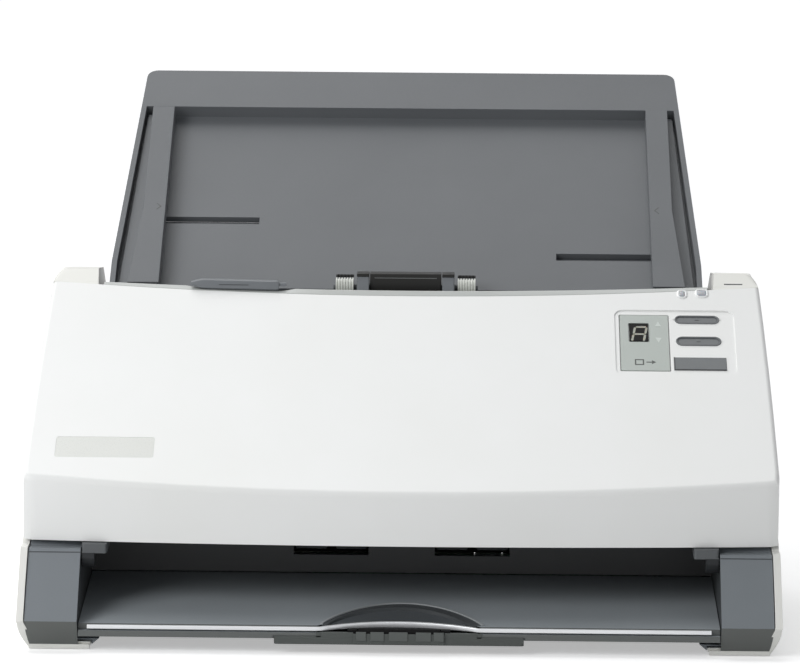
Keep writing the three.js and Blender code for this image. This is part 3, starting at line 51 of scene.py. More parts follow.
slotOf = {part["node"]: part["material_slot"] for part in record["subparts"]}
millimetre = 0.001
print("frame loaded")


# Colours are written as they look on screen, 0 to 255
def tone(red, green, blue):
    def linear(value):
        share = value / 255
        return share / 12.92 if share <= 0.04045 else ((share + 0.055) / 1.055) ** 2.4
    return (linear(red), linear(green), linear(blue), 1.0)


# Small builders for material trees
class Finish:
    def __init__(self, name):
        self.material = bpy.data.materials.new(name)
        self.material.use_nodes = True
        self.tree = self.material.node_tree
        self.shader = self.tree.nodes["Principled BSDF"]

    def add(self, kind, **values):
        node = self.tree.nodes.new(kind)
        for key, value in values.items():
            node.inputs[key].default_value = value
        return node

    def join(self, source, target):
        self.tree.links.new(source, target)

    def place(self, stretch=(1, 1, 1), turn=(0, 0, 0)):
        coordinate = self.add("ShaderNodeTexCoord")
        mapping = self.add("ShaderNodeMapping", Scale=stretch, Rotation=turn)
        self.join(coordinate.outputs["Object"], mapping.inputs["Vector"])
        return mapping.outputs["Vector"]

    def noise(self, scale, detail=2.0, stretch=(1, 1, 1)):
        node = self.add("ShaderNodeTexNoise", Scale=scale, Detail=detail)
        self.join(self.place(stretch), node.inputs["Vector"])
        return node.outputs["Fac"]

    def spread(self, source, low, high, fromLow=0.3, fromHigh=0.7):
        node = self.add("ShaderNodeMapRange", **{
            "From Min": fromLow, "From Max": fromHigh, "To Min": low, "To Max": high})
        self.join(source, node.inputs["Value"])
        return node.outputs["Result"]

    def mix(self, share, first, second):
        node = self.add("ShaderNodeMix")
        node.data_type = "RGBA"
        self.join(share, node.inputs["Factor"])
        for value, socket in ((first, node.inputs[6]), (second, node.inputs[7])):
            if isinstance(value, tuple):
                socket.default_value = value
            else:
                self.join(value, socket)
        return node.outputs[2]

    def bump(self, height, depth, strength=1.0, below=None):
        node = self.add("ShaderNodeBump", Distance=depth, Strength=strength)
        self.join(height, node.inputs["Height"])
        if below:
            self.join(below, node.inputs["Normal"])
        return node.outputs["Normal"]

    # What feeds the colour, the roughness and the bump, and the values that stay fixed
    def end(self, colour, roughness, normal=None, **values):
        for source, label in ((colour, "Base Color"), (roughness, "Roughness"), (normal, "Normal")):
            if source:
                self.join(source, self.shader.inputs[label])
        for key, value in values.items():
            self.shader.inputs[key.replace("_", " ")].default_value = value
        return self.material


# Grains of moulded plastic: scale, depth and strength of the bump, and shine
grains = {
    "plain": (1500, 0.00003, 0.5, 0.5), "black": (1500, 0.00003, 0.5, 0.2), "pit": (1500, 0.00003, 0.5, 0.1),
    "shell": (1400, 0.00002, 0.35, 0.5), "coarse": (1300, 0.00004, 0.6, 0.25), "matt": (1300, 0.00004, 0.6, 0.2),
    "key": (2200, 0.000015, 0.4, 0.3), "plate": (2600, 0.00001, 0.3, 0.5), "fine": (2000, 0.00002, 0.4, 0.5),
    "collar": (2000, 0.00001, 0.3, 0.5), "gear": (900, 0.00001, 0.3, 0.5),
}


def mouldedPlastic(name, colour, mottled, roughness, grain="plain"):
    finish = Finish(name)
    scale, depth, strength, shine = grains[grain]
    broad = finish.spread(finish.noise(16, 3.0), 0, 1)
    fine = finish.noise(scale, 2.0)
    flow = finish.bump(finish.noise(45, 1.0), 0.00008, 0.25)
    return finish.end(finish.mix(broad, tone(*colour), tone(*mottled)),
                      finish.spread(fine, roughness - 0.05, roughness + 0.05),
                      finish.bump(fine, depth, strength, flow), Specular_IOR_Level=shine)


def brushedMetal(name, colour, dull, roughness, stretch, metal=1.0):
    finish = Finish(name)
    lines = finish.noise(900, 2.0, stretch)
    return finish.end(finish.mix(finish.spread(lines, 0, 1), tone(*colour), tone(*dull)),
                      finish.spread(lines, roughness - 0.07, roughness + 0.1),
                      finish.bump(lines, 0.00001, 0.5), Metallic=metal, Anisotropic=0.4)


def groundRubber(name, colour, worn, stretch):
    finish = Finish(name)
    grain = finish.noise(1100, 3.0, stretch)
    patches = finish.spread(finish.noise(90, 2.0), 0, 1)
    return finish.end(finish.mix(patches, tone(*colour), tone(*worn)), finish.spread(grain, 0.72, 0.9),
                      finish.bump(grain, 0.00006, 0.7), Specular_IOR_Level=0.3)


def glossyWindow(name, colour, bloom, roughness):
    finish = Finish(name)
    cloud = finish.spread(finish.noise(120, 2.0), 0, 1)
    wear = finish.spread(finish.noise(300, 2.0), roughness, roughness + 0.06)
    return finish.end(finish.mix(cloud, tone(*colour), tone(*bloom)), wear, Specular_IOR_Level=0.05)


def clearGlass(name, colour, clouded):
    finish = Finish(name)
    smear = finish.noise(180, 3.0)
    return finish.end(finish.mix(finish.spread(smear, 0, 1), tone(*colour), tone(*clouded)),
                      finish.spread(smear, 0.02, 0.12), Transmission_Weight=0.85, IOR=1.5)


def milkyPipe(name, colour, core):
    finish = Finish(name)
    cloud = finish.spread(finish.noise(400, 2.0), 0, 1)
    return finish.end(finish.mix(cloud, tone(*colour), tone(*core)),
                      finish.spread(finish.noise(900, 1.0), 0.25, 0.4),
                      Subsurface_Weight=0.3, Subsurface_Scale=0.001)


def solderMask(name, colour, copper):
    finish = Finish(name)
    cells = finish.add("ShaderNodeTexVoronoi", Scale=260.0)
    cells.feature = "DISTANCE_TO_EDGE"
    finish.join(finish.place((1, 1, 0.2)), cells.inputs["Vector"])
    tracks = finish.spread(cells.outputs["Distance"], 1, 0, 0.02, 0.08)
    return finish.end(finish.mix(tracks, tone(*colour), tone(*copper)),
                      finish.spread(finish.noise(300, 2.0), 0.35, 0.5), finish.bump(tracks, 0.00004, 0.6))


finishes = {
    "white_plastic": mouldedPlastic("whiteShell", (240, 241, 240), (237, 238, 236), 0.42, "shell"),
    "strip_plastic": mouldedPlastic("stripPlastic", (190, 193, 191), (184, 187, 184), 0.45),
    "dark_plastic": mouldedPlastic("darkShell", (128, 133, 138), (122, 128, 132), 0.5, "coarse"),
    "bay_plastic": mouldedPlastic("bayPlastic", (92, 98, 106), (87, 93, 100), 0.5, "coarse"),
    "black_plastic": mouldedPlastic("blackPlastic", (40, 40, 39), (35, 35, 34), 0.4, "black"),
    "grey_plastic": mouldedPlastic("chutePlastic", (106, 109, 112), (101, 104, 107), 0.48, "coarse"),
    "key_plastic": mouldedPlastic("keyPlastic", (104, 108, 110), (99, 103, 105), 0.36, "key"),
    "lever_plastic": mouldedPlastic("leverPlastic", (112, 116, 120), (106, 110, 114), 0.4, "fine"),
    "trim_metal": brushedMetal("satinSilver", (236, 238, 240), (224, 226, 228), 0.38, (0.03, 1, 1), 0.4),
    "display_plate": mouldedPlastic("displayPlate", (174, 181, 176), (168, 176, 170), 0.35, "plate"),
    "display_window": glossyWindow("smokedWindow", (14, 14, 13), (18, 17, 16), 0.3),
    "sensor_glass": clearGlass("sensorGlass", (214, 226, 222), (196, 212, 208)),
    "light_pipe": milkyPipe("milkyPipe", (166, 170, 176), (154, 158, 165)),
    "foot_rubber": groundRubber("footRubber", (52, 52, 53), (60, 60, 61), (1, 1, 1)),
    "tyre_rubber": groundRubber("tyreRubber", (84, 87, 90), (98, 101, 103), (4, 1, 1)),
    "steel": brushedMetal("groundSteel", (196, 199, 201), (178, 181, 184), 0.25, (1, 0.05, 0.05)),
    "gear_plastic": mouldedPlastic("acetal", (236, 233, 222), (229, 225, 212), 0.32, "gear"),
    "circuit_board": solderMask("solderMask", (26, 98, 62), (58, 132, 88)),
    "motor_metal": brushedMetal("platedCan", (120, 123, 126), (104, 107, 110), 0.35, (0.05, 1, 1)),
}
# Lit and shaded copies of the bay's grey: the floor is a lighter copy, painted light where the lamps reach too
# little into the bay, and the bay walls are a darker copy, painted shade
floorLitPlastic = mouldedPlastic("outputFloorLit", (150, 156, 160), (144, 150, 154), 0.5, "coarse")
wallShadedPlastic = mouldedPlastic("bayWallShaded", (76, 77, 78), (71, 72, 73), 0.5, "coarse")
drawerPlastic = mouldedPlastic("drawerGrey", (86, 90, 88), (81, 85, 83), 0.5, "coarse")
# Rear cover and ear caps: partly their own faint beige tint, and partly painted shade that makes the ears darker
# than the cover
bodyPlastic = mouldedPlastic("bodyShellTintAndShade", (228, 228, 222), (225, 225, 219), 0.42, "shell")
# The floor's front bar face, a darker copy of the floor's grey as painted shade beside its lit top; the holder
# ridge is drawn in it too
barPlastic = mouldedPlastic("frontBar", (108, 111, 110), (103, 106, 105), 0.5, "coarse")
# The scoop dish in the floor, darker as painted shade in its hollow
dishShadedPlastic = mouldedPlastic("floorDishShaded", (84, 88, 91), (79, 83, 86), 0.5, "coarse")
# Painted shade for the pillars' inner walls and the pillar caps' crease lines; the ear slit and the lever's fine
# line use it too
sideShade = mouldedPlastic("innerSides", (66, 69, 71), (61, 64, 66), 0.5, "coarse")
# A painted highlight along the scoop's rim and painted shade for the border inside it
scoopLight = mouldedPlastic("scoopRim", (160, 164, 166), (154, 158, 160), 0.5, "coarse")
scoopShade = mouldedPlastic("scoopBorderShade", (72, 75, 77), (67, 70, 72), 0.55, "matt")
footPlastic = mouldedPlastic("footFront", (106, 109, 107), (100, 103, 101), 0.5, "coarse")
printInk = mouldedPlastic("printInk", (66, 71, 67), (60, 65, 61), 0.5)
paleInk = mouldedPlastic("paleInk", (208, 214, 209), (200, 207, 202), 0.5)
unlitSegment = milkyPipe("unlitSegment", (158, 152, 136), (146, 140, 126))
badgePlastic = mouldedPlastic("badgePlate", (214, 216, 211), (208, 210, 205), 0.3, "plate")
fingerPlastic = mouldedPlastic("stopGrey", (98, 102, 100), (93, 97, 95), 0.5, "coarse")
rimPlastic = mouldedPlastic("keyRim", (78, 81, 84), (73, 76, 79), 0.4, "key")
shadeKey = mouldedPlastic("keyEdge", (44, 47, 50), (40, 43, 46), 0.4, "key")
collarPlastic = mouldedPlastic("lightCollar", (247, 248, 247), (244, 245, 244), 0.3, "collar")
cheekPlastic = mouldedPlastic("cheekPlate", (108, 112, 116), (102, 106, 110), 0.42)
ribbedWhite = mouldedPlastic("ribbedWhite", (222, 224, 218), (212, 214, 208), 0.4)
sidePlastic = mouldedPlastic("sideShell", (238, 238, 233), (235, 235, 230), 0.42, "shell")
hingePlastic = mouldedPlastic("hingeArm", (96, 99, 101), (91, 94, 96), 0.5, "coarse")
deepShade = mouldedPlastic("deepShade", (46, 48, 50), (42, 44, 46), 0.55, "black")
# Near-black painted shade for the notch, the faces behind the stop and the slots behind the exit rollers
pitShadeBlack = mouldedPlastic("pitShadeBlack", (15, 15, 16), (12, 12, 13), 0.6, "pit")
shadeBlack = mouldedPlastic("shadeBlack", (30, 31, 32), (25, 26, 27), 0.55)
contactGold = brushedMetal("contactGold", (214, 180, 104), (190, 156, 84), 0.3, (1, 1, 1))
screwSteel = brushedMetal("screwSteel", (150, 152, 154), (126, 128, 130), 0.35, (1, 1, 1))
print("finishes made:", len(bpy.data.materials))


# Mesh helpers; a solid's loose triangles are merged a little wider than a new piece's corners
weld = {"piece": 0.0000005, "solid": 0.000002, "flat": 0.4}


def addPiece(name, bm, material, body):
    bmesh.ops.remove_doubles(bm, verts=bm.verts, dist=weld["piece"])
    bmesh.ops.recalc_face_normals(bm, faces=bm.faces)
    mesh = bpy.data.meshes.new(name)
    bm.to_mesh(mesh)
    bm.free()
    piece = bpy.data.objects.new(name, mesh)
    bpy.context.scene.collection.objects.link(piece)
    mesh.materials.append(material)
    piece["body"] = body
    return piece


def roundEdges(piece, width, segments=2, angle=30):
    bevel = piece.modifiers.new("edges", "BEVEL")
    bevel.width = width * millimetre
    bevel.segments = segments
    bevel.limit_method = "ANGLE"
    bevel.angle_limit = math.radians(angle)
    bevel.use_clamp_overlap = True
    bevel.harden_normals = True
    bevel.miter_outer = "MITER_ARC"
    even = piece.modifiers.new("even", "WEIGHTED_NORMAL")
    even.keep_sharp = True
    even.weight = 80


def settle(piece):
    bpy.context.view_layer.update()
    graph = bpy.context.evaluated_depsgraph_get()
    mesh = bpy.data.meshes.new_from_object(piece.evaluated_get(graph))
    piece.modifiers.clear()
    piece.data = mesh
    return piece


def smooth(piece, angle=32):
    piece.data.shade_smooth()
    piece.data.set_sharp_from_angle(angle=math.radians(angle))
    return piece


def finishPiece(piece, width=0.0, segments=2, angle=30):
    smooth(piece, angle)
    if width:
        roundEdges(piece, width, segments, angle)
        settle(piece)
    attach(piece, piece["body"])
    return piece


# A prism over an outline in millimetres, put in place by a matrix
def prism(bm, outline, low, high, place):
    rings = []
    for height in (low, high):
        rings.append([bm.verts.new(place @ (Vector((x, y, height)) * millimetre)) for x, y in outline])
    bm.faces.new(rings[0][::-1])
    bm.faces.new(rings[1])
    for i in range(len(outline)):
        j = (i + 1) % len(outline)
        bm.faces.new((rings[0][i], rings[0][j], rings[1][j], rings[1][i]))


# Stacked outlines in millimetres, joined into one skin; a closed stack is a ring
def loft(bm, rings, place, closed=False):
    made = [[bm.verts.new(place @ (Vector(point) * millimetre)) for point in ring] for ring in rings]
    pairs = list(zip(made, made[1:]))
    if closed:
        pairs.append((made[-1], made[0]))
    else:
        bm.faces.new(made[0][::-1])
        bm.faces.new(made[-1])
    for lower, upper in pairs:
        for i in range(len(lower)):
            j = (i + 1) % len(lower)
            bm.faces.new((lower[i], lower[j], upper[j], upper[i]))


# Where a node's uppermost face lies on a plane, in millimetres; the keys' copies stand at their own level
topFace = {"keyLevel": -0.55, "depth": 0.05}


def topOf(nodeName, plane):
    back = plane.inverted()
    points = [(back @ vertex.co) / millimetre for vertex in nodes[nodeName].data.vertices]
    peak = max(point.z for point in points)
    upper = [point for point in points if point.z > peak - topFace["depth"]]
    level = topFace["keyLevel"] if nodeName.endswith("_key") else peak
    return {"left": min(point.x for point in upper), "right": max(point.x for point in upper),
            "low": min(point.y for point in upper), "high": max(point.y for point in upper), "level": level}


def insetRing(top, inset, corner, level, steps=8):
    outline = roundedOutline(top["left"] + inset, top["right"] - inset, top["low"] + inset, top["high"] - inset,
                             max(corner - inset, 0.05), steps)
    return [(x, y, level) for x, y in outline]


def roundedOutline(left, right, low, high, radius, steps=6):
    corners = [(right - radius, high - radius, 0), (left + radius, high - radius, 90),
               (left + radius, low + radius, 180), (right - radius, low + radius, 270)]
    outline = []
    for x, y, start in corners:
        for step in range(steps + 1):
            turn = math.radians(start + 90 * step / steps)
            outline.append((x + radius * math.cos(turn), y + radius * math.sin(turn)))
    return outline


# Geometry Nodes: a piece's own mesh repeated along a line or round an axis along X
def startTree(name, inputs):
    tree = bpy.data.node_groups.new(name, "GeometryNodeTree")
    tree.interface.new_socket("Geometry", in_out="INPUT", socket_type="NodeSocketGeometry")
    for label, kind in inputs:
        tree.interface.new_socket(label, in_out="INPUT", socket_type=kind)
    tree.interface.new_socket("Geometry", in_out="OUTPUT", socket_type="NodeSocketGeometry")
    return tree, tree.nodes.new("NodeGroupInput"), tree.nodes.new("NodeGroupOutput")


def endTree(tree, instances, groupIn, groupOut):
    realize = tree.nodes.new("GeometryNodeRealizeInstances")
    setMaterial = tree.nodes.new("GeometryNodeSetMaterial")
    tree.links.new(instances, realize.inputs["Geometry"])
    tree.links.new(realize.outputs["Geometry"], setMaterial.inputs["Geometry"])
    tree.links.new(groupIn.outputs["Material"], setMaterial.inputs["Material"])
    tree.links.new(setMaterial.outputs["Geometry"], groupOut.inputs["Geometry"])
    return tree


def buildRowTree():
    tree, groupIn, groupOut = startTree("rowOfPieces", [
        ("Count", "NodeSocketInt"), ("Step", "NodeSocketVector"), ("Material", "NodeSocketMaterial")])
    line = tree.nodes.new("GeometryNodeMeshLine")
    copies = tree.nodes.new("GeometryNodeInstanceOnPoints")
    tree.links.new(groupIn.outputs["Count"], line.inputs["Count"])
    tree.links.new(groupIn.outputs["Step"], line.inputs["Offset"])
    tree.links.new(line.outputs["Mesh"], copies.inputs["Points"])
    tree.links.new(groupIn.outputs["Geometry"], copies.inputs["Instance"])
    return endTree(tree, copies.outputs["Instances"], groupIn, groupOut)


def buildRingTree():
    tree, groupIn, groupOut = startTree("ringOfPieces", [
        ("Count", "NodeSocketInt"), ("Centre", "NodeSocketVector"), ("Material", "NodeSocketMaterial")])
    line = tree.nodes.new("GeometryNodeMeshLine")
    line.inputs["Offset"].default_value = (0, 0, 0)
    copies = tree.nodes.new("GeometryNodeInstanceOnPoints")
    index = tree.nodes.new("GeometryNodeInputIndex")
    share = tree.nodes.new("ShaderNodeMath")
    share.operation = "DIVIDE"
    turn = tree.nodes.new("ShaderNodeMath")
    turn.operation = "MULTIPLY"
    turn.inputs[1].default_value = 2 * math.pi
    rotation = tree.nodes.new("ShaderNodeCombineXYZ")
    shift = tree.nodes.new("GeometryNodeTransform")
    tree.links.new(groupIn.outputs["Count"], line.inputs["Count"])
    tree.links.new(index.outputs["Index"], share.inputs[0])
    tree.links.new(groupIn.outputs["Count"], share.inputs[1])
    tree.links.new(share.outputs["Value"], turn.inputs[0])
    tree.links.new(turn.outputs["Value"], rotation.inputs["X"])
    tree.links.new(line.outputs["Mesh"], copies.inputs["Points"])
    tree.links.new(groupIn.outputs["Geometry"], copies.inputs["Instance"])
    tree.links.new(rotation.outputs["Vector"], copies.inputs["Rotation"])
    tree.links.new(copies.outputs["Instances"], shift.inputs["Geometry"])
    tree.links.new(groupIn.outputs["Centre"], shift.inputs["Translation"])
    return endTree(tree, shift.outputs["Geometry"], groupIn, groupOut)


def buildPathTree():
    tree, groupIn, groupOut = startTree("barAlongPath", [
        ("Width", "NodeSocketFloat"), ("Height", "NodeSocketFloat"), ("Soft Edge", "NodeSocketFloat"),
        ("Material", "NodeSocketMaterial")])
    path = tree.nodes.new("GeometryNodeMeshToCurve")
    upright = tree.nodes.new("GeometryNodeSetCurveNormal")
    upright.mode = "Z_UP"
    section = tree.nodes.new("GeometryNodeCurvePrimitiveQuadrilateral")
    rounded = tree.nodes.new("GeometryNodeFilletCurve")
    rounded.mode = "POLY"
    rounded.inputs["Count"].default_value = 3
    swell = tree.nodes.new("GeometryNodeInputNamedAttribute")
    swell.inputs["Name"].default_value = "swell"
    sweep = tree.nodes.new("GeometryNodeCurveToMesh")
    sweep.inputs["Fill Caps"].default_value = True
    tree.links.new(groupIn.outputs["Geometry"], path.inputs["Mesh"])
    tree.links.new(path.outputs["Curve"], upright.inputs["Curve"])
    tree.links.new(upright.outputs["Curve"], sweep.inputs["Curve"])
    tree.links.new(swell.outputs["Attribute"], sweep.inputs["Scale"])
    tree.links.new(groupIn.outputs["Width"], section.inputs["Width"])
    tree.links.new(groupIn.outputs["Height"], section.inputs["Height"])
    tree.links.new(section.outputs["Curve"], rounded.inputs["Curve"])
    tree.links.new(groupIn.outputs["Soft Edge"], rounded.inputs["Radius"])
    tree.links.new(rounded.outputs["Curve"], sweep.inputs["Profile Curve"])
    return endTree(tree, sweep.outputs["Mesh"], groupIn, groupOut)


def runTree(piece, tree, **values):
    modifier = piece.modifiers.new(tree.name, "NODES")
    modifier.node_group = tree
    values["Material"] = piece.data.materials[0]
    for item in tree.interface.items_tree:
        if item.item_type == "SOCKET" and item.in_out == "INPUT" and item.name in values:
            modifier[item.identifier] = values[item.name]
    return settle(piece)


rowTree = buildRowTree()
ringTree = buildRingTree()
pathTree = buildPathTree()


def addPath(name, points, material, body, swells=None):
    bm = bmesh.new()
    verts = [bm.verts.new(Vector(point) * millimetre) for point in points]
    for start, end in zip(verts, verts[1:]):
        bm.edges.new((start, end))
    piece = addPiece(name, bm, material, body)
    swell = piece.data.attributes.new("swell", "FLOAT", "POINT")
    swell.data.foreach_set("value", swells or [1.0] * len(points))
    return piece


def sweepPath(piece, width, height, soft):
    runTree(piece, pathTree, Width=width * millimetre, Height=height * millimetre,
            **{"Soft Edge": soft * millimetre})
    bm = bmesh.new()
    bm.from_mesh(piece.data)
    bmesh.ops.recalc_face_normals(bm, faces=bm.faces)
    bm.to_mesh(piece.data)
    bm.free()
    return finishPiece(piece)


# Planes that the details sit on, found from the frame
slope = math.radians(32)
chuteFace = {"behind": 0.0148565, "below": 0.0031}
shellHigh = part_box("cover_shell")[1]
coverPlane = Matrix.Translation((0, shellHigh.y, shellHigh.z)) @ Matrix.Rotation(slope, 4, "X")
chuteCorner = (0, shellHigh.y + chuteFace["behind"], shellHigh.z - chuteFace["below"])
chutePlane = Matrix.Translation(chuteCorner) @ Matrix.Rotation(slope, 4, "X")

# CAD nodes: every one gets its finish, and the ones in view a copy with soft edges
edgeWidths = {
    "cover_shell": 0.9, "left_side_panel": 0.4, "right_side_panel": 0.4, "rear_cover": 0.6, "left_pillar": 0.5,
    "right_pillar": 0.5, "bottom_housing": 0.4, "output_floor": 0.3, "output_drawer": 0.3,
    "paper_stop": 0.25, "lower_paper_guide": 0.25, "cover_inner_guide": 0.25, "slot_strip": 0.25,
    "display_plate": 0.15, "display_window": 0.1, "up_key": 0.4, "down_key": 0.4, "scan_key": 0.2,
    "pad_bracket": 0.25, "pad_holder": 0.3, "separation_pad": 0.15,
    "left_hinge_arm": 0.3, "right_hinge_arm": 0.3,
    "chute": 0.6, "chute_extension": 0.5, "left_side_guide": 0.5, "right_side_guide": 0.5, "guide_pinion": 0.1,
    "narrow_status_light": 0.15, "wide_status_light": 0.15, "usb_socket": 0.2, "power_socket": 0.3,
    "drive_motor": 0.5, "pick_tyre": 0.5, "feed_tyre": 0.5, "exit_tyre_left": 0.4, "exit_tyre_right": 0.4,
    "pick_gear": 0.1, "feed_gear": 0.1, "exit_gear": 0.1, "upper_idler_gear": 0.1, "lower_idler_gear": 0.1,
    "motor_pinion": 0.1, "foot_front_left": 0.4, "foot_front_right": 0.4, "foot_rear_left": 0.4,
    "foot_rear_right": 0.4, "pick_shaft": 0.4, "feed_shaft": 0.4, "exit_shaft": 0.4, "latch_bar": 0.2,
}
# Finishes in place of a node's slot; among them are the floor's painted light, the bay walls' painted shade and
# the rear cover's painted shade
shades = {"output_floor": floorLitPlastic, "lower_paper_guide": wallShadedPlastic, "cover_inner_guide": wallShadedPlastic,
          "output_drawer": drawerPlastic, "paper_stop": drawerPlastic, "left_side_panel": sidePlastic,
          "right_side_panel": sidePlastic, "rear_cover": bodyPlastic, "left_hinge_arm": hingePlastic,
          "right_hinge_arm": hingePlastic}


def finishOf(nodeName):
    return shades.get(nodeName, finishes[slotOf[nodeName]])


for nodeName, node in nodes.items():
    node.data.materials.clear()
    node.data.materials.append(finishOf(nodeName))


# Zones of a piece given another finish, mostly painted shade: the floor's front bar darker than its lit top, a
# near-black notch, a darker scoop dish, darker inner walls of the pillars, near-black faces behind the stop and
# the hinge arms' darker lower part; centres in millimetres, the last rule that fits wins
zones = {"floorY": -137.99, "floorZ": 11.4, "floorSlope": 8.6 / 71, "barRear": -136, "notchHalf": 33,
         "notchFront": -137, "notchRear": -122, "dishHalf": 34, "dishRear": -110, "dishDeep": 0.03,
         "pillarInner": 134.3, "armTop": 37.2, "stopTop": 7.15, "stopHalf": 33, "facing": 0.7, "leaning": 0.6,
         "under": 0.5}


def underFloor(centre):
    return zones["floorZ"] + (centre.y - zones["floorY"]) * zones["floorSlope"] - centre.z


def barFace(centre, normal):
    return normal.y < -zones["facing"] and centre.y < zones["barRear"]


# The notch's front-facing walls, painted near-black as shade
def notchFace(centre, normal):
    inNotch = abs(centre.x) < zones["notchHalf"] and zones["notchFront"] < centre.y < zones["notchRear"]
    return inNotch and normal.y < -zones["leaning"]


# The scoop dish's faces below the floor plane, painted darker as shade
def dishFace(centre, normal):
    inDish = abs(centre.x) < zones["dishHalf"] and centre.y < zones["dishRear"]
    return inDish and normal.z > zones["facing"] and underFloor(centre) > zones["dishDeep"]


# The pillars' inner walls, painted darker as shade
def innerFace(centre, normal):
    return abs(normal.x) > zones["facing"] and abs(centre.x) < zones["pillarInner"]


# The hinge arms' lower part and undersides, painted darker as shade
def lowArm(centre, normal):
    return centre.z < zones["armTop"] or normal.z < -zones["under"]


# Faces of the drawer and stop above the fingers, painted near-black as shade under the trim's arc
def shadedBehindStop(centre, normal):
    return centre.z > zones["stopTop"] and abs(centre.x) < zones["stopHalf"]


faceShades = {
    "output_floor": [(barFace, barPlastic), (notchFace, pitShadeBlack), (dishFace, dishShadedPlastic)],
    "left_pillar": [(innerFace, sideShade)], "right_pillar": [(innerFace, sideShade)],
    "output_drawer": [(shadedBehindStop, pitShadeBlack)],
    "paper_stop": [(shadedBehindStop, pitShadeBlack)],
    "left_hinge_arm": [(lowArm, deepShade)], "right_hinge_arm": [(lowArm, deepShade)],
}


def shadeFaces(piece, nodeName):
    for index, (rule, material) in enumerate(faceShades.get(nodeName, []), 1):
        piece.data.materials.append(material)
        for face in piece.data.polygons:
            if rule(face.center / millimetre, face.normal):
                face.material_index = index


# The cover's front corners are drawn out to a tighter turn, and the edge round its top face is rolled over
coverTurn = {"x": 153.1, "y": -107.6, "power": 0.85, "frontY": -106.99, "creaseZ": 73.35, "rimZ": 47.31,
             "rimRise": 0.8195, "lowest": 42.4, "roll": 2.2, "push": 0.9, "sideX": 154.9, "creaseTop": 74.0,
             "reach": 5.4, "between": 60, "length": 103, "onFace": 0.12, "flat": 0.98, "turned": 0.7}


def squareCorners(bm):
    for vertex in bm.verts:
        x, y = abs(vertex.co.x) / millimetre - coverTurn["x"], vertex.co.y / millimetre - coverTurn["y"]
        if x > 0 and y < 0:
            reach = math.hypot(x, y)
            grow = (reach / max(x, -y)) ** coverTurn["power"]
            vertex.co.x = math.copysign((coverTurn["x"] + x * grow) * millimetre, vertex.co.x)
            newY = coverTurn["y"] + y * grow
            vertex.co.y = newY * millimetre
            if reach > coverTurn["reach"]:
                behind = newY - coverTurn["frontY"]
                if vertex.co.z > coverTurn["between"] * millimetre:
                    vertex.co.z = (coverTurn["creaseZ"] + behind * math.tan(slope)) * millimetre
                else:
                    rim = coverTurn["rimZ"] + behind * coverTurn["rimRise"]
                    vertex.co.z = max(rim, coverTurn["lowest"]) * millimetre


def rollCoverEdge(bm):
    squareCorners(bm)
    for vertex in bm.verts:
        x, y = abs(vertex.co.x) / millimetre, vertex.co.y / millimetre
        if x > coverTurn["sideX"] and y > coverTurn["frontY"]:
            wider = x + coverTurn["push"] * (y - coverTurn["frontY"]) / coverTurn["length"]
            vertex.co.x = math.copysign(wider * millimetre, vertex.co.x)
    bm.normal_update()
    upward = Vector((0, -math.sin(slope), math.cos(slope)))
    back = coverPlane.inverted()
    chosen = []
    for edge in bm.edges:
        away = max(abs((back @ vertex.co).z) for vertex in edge.verts)
        if len(edge.link_faces) != 2 or away > coverTurn["onFace"] * millimetre:
            continue
        leans = sorted(face.normal.dot(upward) for face in edge.link_faces)
        atSide = all(abs(vertex.co.x) > coverTurn["sideX"] * millimetre for vertex in edge.verts)
        atFront = all(vertex.co.z < coverTurn["creaseTop"] * millimetre for vertex in edge.verts)
        if leans[1] > coverTurn["flat"] and leans[0] < coverTurn["turned"] and (atSide or atFront):
            chosen.append(edge)
    bmesh.ops.bevel(bm, geom=chosen, offset=coverTurn["roll"] * millimetre, offset_type="OFFSET", segments=5,
                    profile=0.5, affect="EDGES", clamp_overlap=True)


# Where the cover's rear edge runs, which dips in a curve toward the middle: y and z
rearCurve = {"half": 155.4, "y": -10.83, "back": 6.98, "z": 133.44, "rise": 4.36}
stripCut = {"half": 115, "step": 5, "below": 0.9}


def rearEdge(x):
    share = min(abs(x) / rearCurve["half"], 1) ** 2
    return rearCurve["y"] + rearCurve["back"] * share, rearCurve["z"] + rearCurve["rise"] * share


# The strip's own block is kept just below the edge, and a slim lip is swept along it further down
def lowerStrip(bm):
    for x in range(-stripCut["half"], stripCut["half"] + 1, stripCut["step"]):
        everything = list(bm.verts) + list(bm.edges) + list(bm.faces)
        bmesh.ops.bisect_plane(bm, geom=everything, plane_co=(x * millimetre, 0, 0), plane_no=(1, 0, 0))
    for vertex in bm.verts:
        level = (rearEdge(vertex.co.x / millimetre)[1] - stripCut["below"]) * millimetre
        vertex.co.z = min(vertex.co.z, level)


# The ears' inner ends lean outward as they rise
earEnd = {"low": 133, "lean": 0.145, "from": 135.2, "to": 135.4, "above": 133.5}


def leanIn(height):
    return max(0.0, height - earEnd["low"]) * earEnd["lean"]


def leanEars(bm):
    for vertex in bm.verts:
        x, z = abs(vertex.co.x) / millimetre, vertex.co.z / millimetre
        if earEnd["from"] < x < earEnd["to"] and z > earEnd["above"]:
            vertex.co.x = math.copysign((x + leanIn(z)) * millimetre, vertex.co.x)


# The keys stand a little lower than their solids
keyBody = -0.6 * millimetre


def lowerKey(bm):
    back = coverPlane.inverted()
    for vertex in bm.verts:
        place = back @ vertex.co
        if place.z > keyBody:
            place.z = keyBody
            vertex.co = coverPlane @ place


reshape = {"cover_shell": rollCoverEdge, "rear_cover": leanEars, "slot_strip": lowerStrip, "up_key": lowerKey,
           "down_key": lowerKey, "scan_key": lowerKey}


